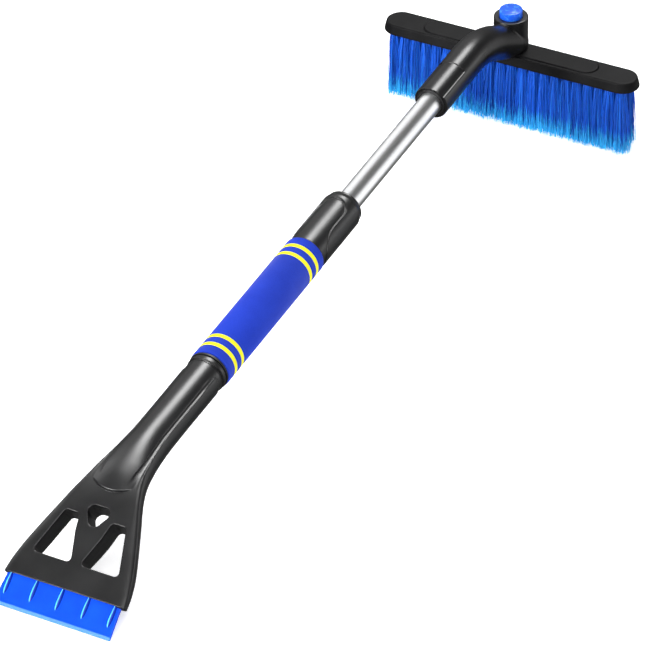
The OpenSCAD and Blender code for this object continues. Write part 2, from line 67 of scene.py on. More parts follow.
# ---- Where things are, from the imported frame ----

RECORD_JOINTS = {j["name"]: j for j in frame["record"]["behaviour"]["joints"]}
DOWN = Vector(RECORD_JOINTS["pole_slide"]["axis"]).normalized()
HUB = Vector(RECORD_JOINTS["brush_swivel"]["pos_m"])
_on_axis = Vector(RECORD_JOINTS["collar_twist"]["pos_m"])
ORIGIN = _on_axis + DOWN * ((HUB.y - _on_axis.y) / DOWN.y)
TILT = math.atan2(-DOWN.z, -DOWN.y)
ACROSS, UPWARD = Vector((1, 0, 0)), Vector((0, -math.sin(TILT), math.cos(TILT)))


def points_of(node):
    """A CAD node's vertices in metres."""
    mesh = frame["nodes"][node].data
    co = np.empty(len(mesh.vertices) * 3, np.float32)
    mesh.vertices.foreach_get("co", co)
    return co.reshape(-1, 3).astype(float)


def along(node):
    """Where a CAD node starts and ends down the pole."""
    s = (points_of(node) - np.array(ORIGIN)) @ np.array(DOWN) / MM
    return float(s.min()), float(s.max())


def middle_along(node):
    """The middle of a CAD node down the pole."""
    return sum(along(node)) / 2


def size_of(node):
    """A CAD node's extent along the world's axes."""
    low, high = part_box(node)
    return (high - low) / MM


def height_of(node, end=1):
    """The height of a CAD node's bottom (0) or top (1)."""
    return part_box(node)[end].z / MM


def from_pole(p):
    """Points of the pole frame as world points in metres."""
    p = np.asarray(p, float) * MM
    axes = np.array([ACROSS, UPWARD, DOWN])
    return p @ axes + np.array(ORIGIN)


def from_hub(p):
    """Points of the hub frame as world points in metres."""
    return np.asarray(p, float) * MM + np.array((HUB.x, HUB.y, 0))


# ---- Settings ----


def length_of(name, text, default, low, high):
    return FloatProperty(name=name, description=f"{text}, in millimetres", default=default, min=low, max=high)


class SNOWBRUSH_PG_sizes(bpy.types.PropertyGroup):
    mesh_step: length_of("Mesh Step", "Spacing of the moulded parts' faces", 0.8, 0.4, 2)
    fibres: IntProperty(name="Fibres", description="Bristle fibres in one tuft", default=260, min=20, max=400)
    tuft_pitch: length_of("Tuft Pitch", "Spacing of the tufts", 11.5, 8, 14)
    tip_ragged: length_of("Ragged Tips", "How much the fibres differ in length", 5, 0, 15)
    rib_pitch: length_of("Rib Pitch", "Spacing of the ribs on the blade", 25, 15, 30)
    seed: IntProperty(name="Seed", description="Seed of the bristles' irregularity", default=7, min=0)


def colour(name, text, rgb):
    return FloatVectorProperty(
        name=name, description=text, subtype="COLOR", size=4, min=0, max=1, default=(*rgb, 1))


class SNOWBRUSH_PG_colours(bpy.types.PropertyGroup):
    plastic: colour("Black Plastic", "Moulded plastic of block, neck, collar and scraper", (0.0055, 0.0055, 0.006))
    bristle: colour("Bristles", "Fibres of the brush", (0.003, 0.10, 0.70))
    bristle_tip: colour("Bristle Tips", "Split ends of the fibres", (0.04, 0.54, 1.0))
    foam: colour("Foam", "Foam sleeve of the grip", (0.014, 0.045, 0.50))
    band: colour("Bands", "Bands on the grip", (0.96, 0.93, 0.015))
    gloss_blue: colour("Gloss Blue", "Release button and scraper blade", (0.004, 0.062, 0.72))
    tube: colour("Tube", "Satin aluminium", (0.82, 0.83, 0.84))


def sizes():
    return bpy.context.scene.snow_brush_sizes


def shade(name):
    return tuple(getattr(bpy.context.scene.snow_brush_colours, name))


# ---- Node trees as expressions ----


class Value:
    """A node's output, or a number, that adds Math nodes when it is calculated with."""

    def __init__(self, net, socket):
        self.net, self.socket = net, socket

    def calc(self, operation, *terms):
        return self.net.node("ShaderNodeMath", {"operation": operation}, dict(enumerate(terms)))

    def __add__(self, other):
        return self.calc("ADD", self, other)

    __radd__ = __add__

    def __sub__(self, other):
        return self.calc("SUBTRACT", self, other)

    def __rsub__(self, other):
        return self.calc("SUBTRACT", other, self)

    def __mul__(self, other):
        return self.calc("MULTIPLY", self, other)

    __rmul__ = __mul__

    def __truediv__(self, other):
        return self.calc("DIVIDE", self, other)

    def __pow__(self, other):
        return self.calc("POWER", self, other)


class Net:
    """Builds one node tree."""

    def __init__(self, tree):
        self.tree = tree

    def node(self, kind, settings=None, sockets=None, out=0):
        """Adds a node, sets it up, fills its sockets and gives its output."""
        made = self.tree.nodes.new(kind)
        for key, value in (settings or {}).items():
            setattr(made, key, value)
        for key, value in (sockets or {}).items():
            self.put(made.inputs[key], value)
        return Value(self, made.outputs[out])

    def put(self, socket, value):
        if isinstance(value, Value):
            self.tree.links.new(value.socket, socket)
        elif value is not None:
            socket.default_value = value

    def mix(self, factor, a, b):
        """Mixes two colours."""
        return self.node("ShaderNodeMix", {"data_type": "RGBA"}, {0: factor, 6: a, 7: b}, out=2)

    def between(self, value, low, high, start=0.0, end=1.0):
        """Maps low..high to start..end, clamped."""
        return self.node("ShaderNodeMapRange", {"clamp": True}, {
            "Value": value, "From Min": low, "From Max": high, "To Min": start, "To Max": end})


class Finish(Net):
    """A procedural material round one Principled shader."""

    def __init__(self, name, **sockets):
        self.material = bpy.data.materials.new(name)
        self.material.use_nodes = True
        super().__init__(self.material.node_tree)
        self.tree.nodes.clear()
        self.shader = self.tree.nodes.new("ShaderNodeBsdfPrincipled")
        output = self.tree.nodes.new("ShaderNodeOutputMaterial")
        self.tree.links.new(self.shader.outputs[0], output.inputs[0])
        self.set(**sockets)

    def set(self, **sockets):
        for key, value in sockets.items():
            self.put(self.shader.inputs[key.replace("_", " ")], value)
        return self

    def place(self, turn=(0, 0, 0), scale=(1, 1, 1)):
        """Object coordinates, turned and stretched."""
        where = self.node("ShaderNodeTexCoord", out="Object")
        return self.node("ShaderNodeMapping", {"vector_type": "POINT"}, {
            "Vector": where, "Rotation": turn, "Scale": scale})

    def noise(self, where, scale, detail=2.0, rough=0.5):
        return self.node("ShaderNodeTexNoise", {"noise_dimensions": "3D"}, {
            "Vector": where, "Scale": scale, "Detail": detail, "Roughness": rough})

    def cells(self, where):
        """The closed cells of a foam."""
        return self.node("ShaderNodeTexVoronoi", {"feature": "F1"}, {"Vector": where, "Scale": FOAM_CELLS})

    def facing(self, axis):
        """How far the surface faces along a world axis."""
        normal = self.node("ShaderNodeNewGeometry", out="Normal")
        return self.node("ShaderNodeSeparateXYZ", None, {0: normal}, out=axis)

    def bump(self, height, distance, strength=1.0):
        """A bump of a height in millimetres."""
        return self.node("ShaderNodeBump", None, {
            "Height": height, "Distance": distance * MM, "Strength": strength})


POLE_TURN = (math.pi / 2 + TILT, 0, 0)
# how often a pattern repeats in a metre: moulding grain, uneven gloss, foam cells
GRAIN, CLOUD, FOAM_CELLS = 2600, 38, 1500.0


def opaque(rgb):
    return (*rgb, 1)


def dimmed(rgb, share):
    return opaque([c * share for c in rgb[:3]])


def brighter(rgb, red, green, blue):
    """A colour with each channel multiplied, none past full."""
    return opaque([min(1.0, c * k) for c, k in zip(rgb, (red, green, blue))])


def moulded_black(name, rough, grain, tone=1.0, gloss=0.5):
    """Injection-moulded plastic with a fine spark-eroded grain and slightly uneven gloss."""
    f = Finish(name, Specular_IOR_Level=gloss)
    where = f.place()
    fine = f.noise(where, GRAIN, 2.0)
    cloud = f.noise(where, CLOUD, 3.0)
    base = [c * tone for c in shade("plastic")[:3]]
    worn = [c * 1.5 + 0.002 for c in base]
    f.set(Base_Color=f.mix(f.between(cloud, 0.35, 0.75), opaque(base), opaque(worn)),
          Roughness=rough + 0.10 * (cloud - 0.5) + 0.05 * (fine - 0.5), Normal=f.bump(fine, grain, 0.5))
    return f.material


def drawn_aluminium():
    """Satin tube with fine lines drawn along the pole."""
    f = Finish("drawn_aluminium", Metallic=1.0)
    lines = f.noise(f.place(turn=POLE_TURN, scale=(900, 900, 9)), 1.0, 3.0, 0.6)
    cloud = f.noise(f.place(), 30, 2.0)
    tube = shade("tube")
    f.set(Base_Color=f.mix(f.between(lines, 0.3, 0.7), tube, dimmed(tube, 0.9)),
          Roughness=0.36 + 0.10 * (lines - 0.5) + 0.06 * (cloud - 0.5), Normal=f.bump(lines, 0.012, 0.4))
    return f.material


def closed_cell_foam():
    """Blue foam: small dark cells, slow changes of colour and a dull skin."""
    f = Finish("closed_cell_foam", Sheen_Weight=0.05, Sheen_Roughness=0.5, Specular_IOR_Level=0.1)
    where = f.place()
    cells = f.cells(where)
    fine = f.noise(where, 900, 3.0)
    cloud = f.noise(where, 45, 3.0)
    foam = shade("foam")
    tint = f.mix(f.between(cells, 0.1, 0.75, 0.0, 0.55), foam, dimmed(foam, 0.72))
    tint = f.mix(f.between(cloud, 0.3, 0.7, 0.0, 0.35), tint, brighter(foam, 1.5, 1.35, 1.15))
    f.set(Base_Color=tint, Roughness=0.86 + 0.1 * (fine - 0.5), Normal=f.bump(cells * -1.0 + fine * 0.6, 0.12, 0.5))
    return f.material


def yellow_band():
    f = Finish("yellow_band", Specular_IOR_Level=0.3)
    where = f.place()
    cloud = f.noise(where, 120, 3.0)
    band = shade("band")
    soiled = opaque((band[0] * 0.85, band[1] * 0.78, 0.01))
    f.set(Base_Color=f.mix(f.between(cloud, 0.35, 0.7, 0.0, 0.4), band, soiled),
          Roughness=0.72 + 0.1 * (cloud - 0.5), Normal=f.bump(f.cells(where) * -1.0, 0.08, 0.5))
    return f.material


def glossy_blue(part, rough, pale):
    """The blue plastic of the button, the blade or its ribs: the button with thumbed patches, the blade with a painted
    highlight on its edge, the ribs with painted highlight and shade on their flanks.
    """
    f = Finish(f"glossy_blue_{part}", Specular_IOR_Level=0.4, Coat_Weight=0.2, Coat_Roughness=0.08)
    where = f.place()
    fine = f.noise(where, 1500, 2.0)
    cloud = f.noise(where, 60, 3.0)
    blue = shade("gloss_blue")
    # pale lifts the blue: a slight tint on the button, and on the ribs the colour of their painted highlight
    blue = opaque((blue[0] + 0.15 * pale, blue[1] + 0.8 * pale, min(1.0, blue[2] + 0.8 * pale)))
    lighter = opaque((blue[0], blue[1] * 1.3, min(1.0, blue[2] * 1.08)))
    tint = f.mix(f.between(cloud, 0.3, 0.7), blue, lighter)
    if part == "button":
        # thumbed patches
        patches = f.noise(where, 260, 2.0)
        tint = f.mix(f.between(patches, 0.52, 0.62, 0.0, 0.35), tint, (0.08, 0.42, 1.0, 1))
    elif part == "blade":
        # the bevelled edge, the part that faces steeply down the plate, is painted paler: a painted highlight along
        # the edge, with some scraping wear
        tint = f.mix(f.between(f.facing(1), -0.62, -0.80, 0.0, 0.5), tint, (0.03, 0.36, 1.0, 1))
    elif part == "rib":
        # painted highlight and shade: the flank facing left keeps the lifted pale colour, and the flank facing right
        # is painted a deep dark blue
        tint = f.mix(f.between(f.facing(0), 0.10, -0.30), (0.002, 0.035, 0.42, 1), tint)
    f.set(Base_Color=tint, Roughness=rough + 0.08 * (cloud - 0.5), Normal=f.bump(fine, 0.01, 0.4))
    return f.material


def nylon_bristle():
    """Fibres of mixed blues, with frayed pale tips: along runs from root to tip, own differs from fibre to fibre."""
    f = Finish("nylon_bristle", Specular_IOR_Level=0.3)
    tip = f.node("ShaderNodeAttribute", {"attribute_name": "along"}, out="Fac")
    own = f.node("ShaderNodeAttribute", {"attribute_name": "own"}, out="Fac")
    root = shade("bristle")
    light = opaque((root[0] + 0.01, root[1] * 1.8, min(1.0, root[2] * 1.4)))
    body = f.mix(own, dimmed(root, 0.45), light)
    body = f.mix(f.between(own, 0.35, 0.65, 0.0, 0.6), body, root)
    frayed = f.between(tip + 0.30 * (own - 0.5), 0.75, 0.92, 0.0, 0.95)
    strays = f.between(own, 0.88, 0.96, 0.0, 0.45) * tip
    f.set(Base_Color=f.mix(frayed.calc("MAXIMUM", frayed, strays), body, shade("bristle_tip")),
          Roughness=0.34 + 0.2 * own)
    return f.material


def zinc_plated_steel():
    f = Finish("zinc_plated_steel", Metallic=1.0, Base_Color=(0.56, 0.57, 0.58, 1))
    lines = f.noise(f.place(), 600, 2.0)
    f.set(Roughness=0.28 + 0.15 * (lines - 0.5), Normal=f.bump(lines, 0.01, 0.4))
    return f.material


def materials():
    return {
        "neck": moulded_black("satin_black_plastic", 0.30, 0.015, 0.9, 0.5),
        "block": moulded_black("satin_black_block", 0.50, 0.03, 0.8, 0.1),
        "collar": moulded_black("satin_black_collar", 0.36, 0.02, 0.9, 0.6),
        "scraper": moulded_black("fine_grain_black_plastic", 0.34, 0.02, 0.9, 0.6),
        "inner": moulded_black("plain_black_plastic", 0.5, 0.02, 1.2),
        "tube": drawn_aluminium(),
        "foam": closed_cell_foam(),
        "band": yellow_band(),
        "button": glossy_blue("button", 0.2, 0.04),
        "blade": glossy_blue("blade", 0.22, 0.0),
        # the ribs' pale colour and their dark flank are painted highlight and painted shade
        "rib": glossy_blue("rib", 0.25, 0.75),
        "bristle": nylon_bristle(),
        "steel": zinc_plated_steel(),
    }


MATERIALS = {}


def material(name):
    """A finish by name. The finishes are made when the first is asked for."""
    if not MATERIALS:
        MATERIALS.update(materials())
    return MATERIALS[name]


# ---- Making pieces ----

# points this close are one point, and a field is searched this far round its piece
DOUBLES, MARGIN = 0.002, 2


def finish_piece(name, mesh, finish, body, nodes=(), normals=None, smooth=True):
    """Makes a finished mesh a piece. Without a finish it keeps the material that it has."""
    mesh.name = name
    if finish:
        mesh.materials.clear()
        mesh.materials.append(material(finish))
    if smooth:
        mesh.shade_smooth()
    if normals is not None:
        mesh.normals_split_custom_set_from_vertices(normals)
    made = bpy.data.objects.new(name, mesh)
    bpy.context.scene.collection.objects.link(made)
    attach(made, body)
    if nodes:
        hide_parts(*nodes)
    return made


def give(finish, *nodes):
    """CAD nodes keep their shapes and get a finish."""
    for node in nodes:
        mesh = frame["nodes"][node].data
        mesh.materials.clear()
        mesh.materials.append(material(finish))


def lathe(profile, turns=96):
    """A closed body of revolution about s, from a closed outline of (s, radius)."""
    count = len(profile)
    a = np.linspace(0, 2 * math.pi, turns, endpoint=False)
    verts = [(r * math.cos(t), r * math.sin(t), s) for s, r in profile for t in a]
    faces = []
    for i in range(count):
        j = (i + 1) % count
        for k in range(turns):
            m = (k + 1) % turns
            faces.append((i * turns + k, i * turns + m, j * turns + m, j * turns + k))
    return verts, faces


def tidy_mesh(verts, faces, place, flat_angle=35):
    """A mesh from loose geometry: doubles merged, faces outwards, hard edges kept."""
    mesh = bpy.data.meshes.new("part")
    mesh.from_pydata(place(verts).tolist(), [], faces)
    b = bmesh.new()
    b.from_mesh(mesh)
    bmesh.ops.remove_doubles(b, verts=b.verts, dist=DOUBLES * MM)
    bmesh.ops.dissolve_degenerate(b, edges=b.edges, dist=DOUBLES / 2 * MM)
    bmesh.ops.recalc_face_normals(b, faces=b.faces)
    b.to_mesh(mesh)
    b.free()
    mesh.shade_smooth()
    mesh.set_sharp_from_angle(angle=math.radians(flat_angle))
    return mesh


# Fields: negative inside a shape, about the distance in millimetres from its surface.


def join(a, b, r=0.0):
    """Both shapes, with a fillet of radius r between them."""
    if r <= 0:
        return np.minimum(a, b)
    return np.maximum(r, np.minimum(a, b)) - np.hypot(np.maximum(r - a, 0), np.maximum(r - b, 0))


def common(a, b, r=0.0):
    """What lies in both shapes, with edges rounded to radius r."""
    return -join(-a, -b, r)


def cut(a, b, r=0.0):
    """The first shape without the second."""
    return common(a, -b, r)


def slab(v, low, high):
    """What lies between two planes."""
    return np.maximum(low - v, v - high)


def polygon_field(u, v, points):
    """Signed distance from a polygon in the plane."""
    u, v = np.broadcast_arrays(u, v)
    best, inside = np.full(u.shape, 1e9), np.zeros(u.shape, bool)
    for (ax, ay), (bx, by) in zip(points, points[1:] + points[:1]):
        ex, ey = bx - ax, by - ay
        wx, wy = u - ax, v - ay
        t = np.clip((wx * ex + wy * ey) / (ex * ex + ey * ey), 0, 1)
        best = np.minimum(best, (wx - ex * t) ** 2 + (wy - ey * t) ** 2)
        crosses = ((ay <= v) != (by <= v)) & (wx < ex * wy / (ey if ey else 1e-9))
        inside ^= crosses
    return np.where(inside, -1, 1) * np.sqrt(best)


def squircle(x, n, half, up, down, power):
    """A section that is wider than high, squarer for a larger power."""
    tall = np.where(n > 0, up, down)
    X, N = np.abs(x) / half, np.abs(n) / tall
    g = (X ** power + N ** power) ** (1 / power) + 1e-6
    slope = np.hypot((X / g) ** (power - 1) / half, (N / g) ** (power - 1) / tall)
    return (g - 1) / np.maximum(slope, 1e-3)


def net_surface(field, low, high, step, relax=2):
    """The surface field = 0 as (points, quads, normals): a net of one point a cell, settled on the field."""
    low, high = np.array(low, float), np.array(high, float)
    count = np.ceil((high - low) / step).astype(int) + 1
    axes = [low[i] + step * np.arange(count[i]) for i in range(3)]
    f = np.asarray(field(axes[0][:, None, None], axes[1][None, :, None], axes[2][None, None, :]), np.float32)
    f = np.broadcast_to(f, tuple(count))
    solid = f < 0
    corners = [(i, j, k) for i in (0, 1) for j in (0, 1) for k in (0, 1)]

    def at(grid, c):
        return grid[tuple(slice(o, o + n - 1) for o, n in zip(c, count))]

    total = sum(at(solid, c).astype(np.int8) for c in corners)
    mixed = (total > 0) & (total < 8)
    cells = np.argwhere(mixed)
    number = np.full(mixed.shape, -1, np.int64)
    number[mixed] = np.arange(len(cells))
    value = {c: at(f, c)[mixed].astype(float) for c in corners}
    place, hits = np.zeros((len(cells), 3)), np.zeros(len(cells))
    for c in corners:
        for axis in range(3):
            if c[axis]:
                continue
            d = tuple(o + (i == axis) for i, o in enumerate(c))
            fa, fb = value[c], value[d]
            crossing = (fa < 0) != (fb < 0)
            t = np.where(crossing, fa / np.where(crossing, fa - fb, 1), 0)
            point = np.tile(np.array(c, float), (len(cells), 1))
            point[:, axis] += t
            place += point * crossing[:, None]
            hits += crossing
    points = low + step * (cells + place / hits[:, None])
    quads = []
    for axis in range(3):
        b, c = (axis + 1) % 3, (axis + 2) % 3
        a0, a1 = [slice(1, -1)] * 3, [slice(1, -1)] * 3
        a0[axis], a1[axis] = slice(0, -1), slice(1, None)
        first, second = solid[tuple(a0)], solid[tuple(a1)]
        where = np.argwhere(first != second)
        sign = first[first != second]
        offset = np.ones(3, int)
        offset[axis] = 0
        base = where + offset
        ring = []
        for db, dc in ((-1, -1), (0, -1), (0, 0), (-1, 0)):
            q = base.copy()
            q[:, b] += db
            q[:, c] += dc
            ring.append(number[tuple(q.T)])
        ring = np.stack(ring, 1)
        ring[~sign] = ring[~sign][:, ::-1]
        quads.append(ring)
    quads = np.concatenate(quads)

    def probe(p):
        return np.asarray(field(p[:, 0], p[:, 1], p[:, 2]), float)

    def gradient(p, reach=0.04):
        g = np.empty_like(p)
        for axis in range(3):
            d = np.zeros(3)
            d[axis] = reach
            g[:, axis] = (probe(p + d) - probe(p - d)) / (2 * reach)
        return g

    def settle(p, rounds):
        for _ in range(rounds):
            v, g = probe(p), gradient(p)
            move = -v[:, None] * g / np.maximum((g * g).sum(1), 0.05)[:, None]
            far = np.maximum(np.linalg.norm(move, axis=1) / (0.5 * step), 1)
            p = p + move / far[:, None]
        return p

    edges = np.concatenate([quads[:, [0, 1]], quads[:, [1, 2]], quads[:, [2, 3]], quads[:, [3, 0]]])
    degree = np.bincount(edges.ravel(), minlength=len(points)).astype(float)
    points = settle(points, 2)
    for _ in range(relax):
        mean = np.zeros_like(points)
        for axis in range(3):
            mean[:, axis] = (np.bincount(edges[:, 0], points[edges[:, 1], axis], len(points))
                             + np.bincount(edges[:, 1], points[edges[:, 0], axis], len(points)))
        mean /= degree[:, None]
        points = settle(points + 0.5 * (mean - points), 1)
    points = settle(points, 2)
    g = gradient(points)
    return points, quads, g / np.linalg.norm(g, axis=1)[:, None]


def moulded(name, field, low, high, step, place, turned, finish, body, nodes=()):
    """A piece from a field. place takes points to the world, turned its directions."""
    points, quads, normals = net_surface(field, low, high, step)
    world = place(points)
    out = turned(normals)
    a, b, c = world[quads[:, 0]], world[quads[:, 1]], world[quads[:, 2]]
    facing = (np.cross(b - a, c - a) * out[quads[:, 0]]).sum(1)
    if np.median(facing) < 0:
        quads = quads[:, ::-1]
    mesh = bpy.data.meshes.new(name)
    mesh.from_pydata(world.tolist(), [], quads.tolist())
    return finish_piece(name, mesh, finish, body, nodes, out)


def turn_pole(v):
    return v @ np.array([ACROSS, UPWARD, DOWN])


def turn_hub(v):
    return v


def table_of(rows):
    """Smooth columns of a table of rows [position, value, ...]: a function of position and column."""
    rows = np.array(rows, float)
    at = rows[:, 0]
    slope = np.empty_like(rows)
    slope[1:-1] = (rows[2:] - rows[:-2]) / (at[2:] - at[:-2])[:, None]
    slope[0] = (rows[1] - rows[0]) / (at[1] - at[0])
    slope[-1] = (rows[-1] - rows[-2]) / (at[-1] - at[-2])
    fine = np.linspace(at[0], at[-1], 400)
    i = np.clip(np.searchsorted(at, fine, side="right") - 1, 0, len(at) - 2)
    h = (at[i + 1] - at[i])[:, None]
    k = ((fine - at[i])[:, None]) / h
    columns = ((1 + 2 * k) * (1 - k) ** 2 * rows[i] + k * k * (3 - 2 * k) * rows[i + 1]
               + k * (1 - k) ** 2 * h * slope[i] - k * k * (1 - k) * h * slope[i + 1])
    return lambda u, column: np.interp(u, fine, columns[:, column])


# ---- Shapes of the moulded parts ----


def path_distance(y, z, runs, bends):
    """Distance in a plane from a path: runs are (start, end), bends (centre, radius, from angle, to angle)."""
    best = 1e9
    for (ay, az), (by, bz) in runs:
        ey, ez = by - ay, bz - az
        t = np.clip(((y - ay) * ey + (z - az) * ez) / (ey * ey + ez * ez), 0, 1)
        d = np.hypot(y - ay - ey * t, z - az - ez * t)
        best = np.minimum(best, d)
    for (cy, cz), radius, first, last in bends:
        a = np.arctan2(z - cz, y - cy)
        on = np.abs(np.hypot(y - cy, z - cz) - radius)
        best = np.where((a > first) & (a < last), np.minimum(best, on), best)
    return best


class NeckShape:
    """The neck arm with its hub, socket, release chamber and finger scallops, in the hub frame."""

    # the arm: slope of its hub end, radius of its bend, where its two runs would cross, its own radius
    slope = math.radians(27)
    bend = 110.0
    corner_s = 69.0
    radius, hub_radius = 16.8, 16.7
    # finger scallops: radius, bite, places round the bend in degrees
    scallop = (9.0, 2.4, (3.5, 12.5, 21.5))
    # radii of the hollow: arm, socket, mouth, bearing, chamber
    arm_bore, socket_bore, mouth_bore, bearing_bore, chamber_bore = 12.4, 13.6, 14.75, 9.06, 10.9

    def __init__(self):
        self.pole_z = ORIGIN.z / MM
        self.bottom = height_of("neck_arm", 0)
        self.top = height_of("release_button") - 8.0
        self.mouth = along("neck_arm")[1]
        self.plug = along("top_plug")[0]
        self.button = size_of("release_button").x / 2
        tangent = self.bend * math.tan((self.slope + TILT) / 2)
        self.shelf = self.bottom + 6
        self.seat = height_of("release_button", 0)
        cy, cz = self.at(self.corner_s)
        root = (0.0, cz + cy * math.tan(self.slope))
        run = -cy / math.cos(self.slope)
        straight = run - tangent
        first_end = (-straight * math.cos(self.slope), root[1] + straight * math.sin(self.slope))
        self.centre = self.at(self.corner_s + tangent, -self.bend)
        self.path = [(root, first_end), (self.at(self.corner_s + tangent), self.at(self.mouth + 40))]
        self.arc = [(self.centre, self.bend, math.pi / 2 - self.slope, math.pi / 2 + TILT)]

    def at(self, s, n=0.0):
        """A point of the pole's plane as (y, z)."""
        return (-s * math.cos(TILT) - n * math.sin(TILT), self.pole_z - s * math.sin(TILT) + n * math.cos(TILT))

    def __call__(self, x, y, z):
        s = -(y * math.cos(TILT)) - (z - self.pole_z) * math.sin(TILT)
        n = -(y * math.sin(TILT)) + (z - self.pole_z) * math.cos(TILT)
        line = path_distance(y, z, self.path, self.arc)
        r = np.hypot(x, line)
        tube = common(r - self.radius, s - self.mouth, 0.9)
        flat = np.hypot(x, y)
        hub = common(flat - self.hub_radius, slab(z, self.bottom - 5, self.top), 1.0)
        f = join(tube, hub, 1.4)
        f = common(f, self.bottom - z, 0.6)
        # shallow panel along the top of the socket
        panel = common(self.radius - 0.8 - r, self.radius * math.sin(math.radians(35)) - n, 0.4)
        panel = common(panel, self.mouth - 45 - s, 0.4)
        f = cut(f, panel, 0.35)
        # finger scallops
        depth, bite, places = self.scallop
        for a in places:
            turn = math.pi / 2 + TILT - math.radians(a)
            reach = self.bend - self.radius - depth + bite
            cy, cz = self.centre[0] + reach * math.cos(turn), self.centre[1] + reach * math.sin(turn)
            f = cut(f, np.hypot(y - cy, z - cz) - depth, 1.6)
        # hollow arm, socket and mouth
        f = cut(f, common(r - self.arm_bore, self.plug + 2 - s))
        f = cut(f, common(r - self.socket_bore, self.plug - 1 - s), 0.5)
        f = cut(f, common(r - self.mouth_bore, self.mouth - 2.8 - s), 0.4)
        # the latch's lead-in groove and window
        latch, half = middle_along("top_latch"), 3.9
        f = cut(f, common(common(np.abs(x) - half, np.abs(n + 10) - 5.4), latch - 4 - s), 0.2)
        f = cut(f, common(np.hypot(x, s - latch) - half, slab(n, -22, -8)), 0.4)
        # bearing, chamber and the button's bore
        f = cut(f, common(flat - self.bearing_bore, z - self.shelf - 1), 0.3)
        f = cut(f, common(flat - self.chamber_bore, self.shelf - z))
        return cut(f, common(flat - self.button - 0.08, self.seat - 4.6 - z), 0.7)


# the blade: its thickness, the depth of its tongue in the plate, and how much narrower the tongue is on each side
BLADE_THICK, TONGUE, TONGUE_INSET = 3.2, 12, 8


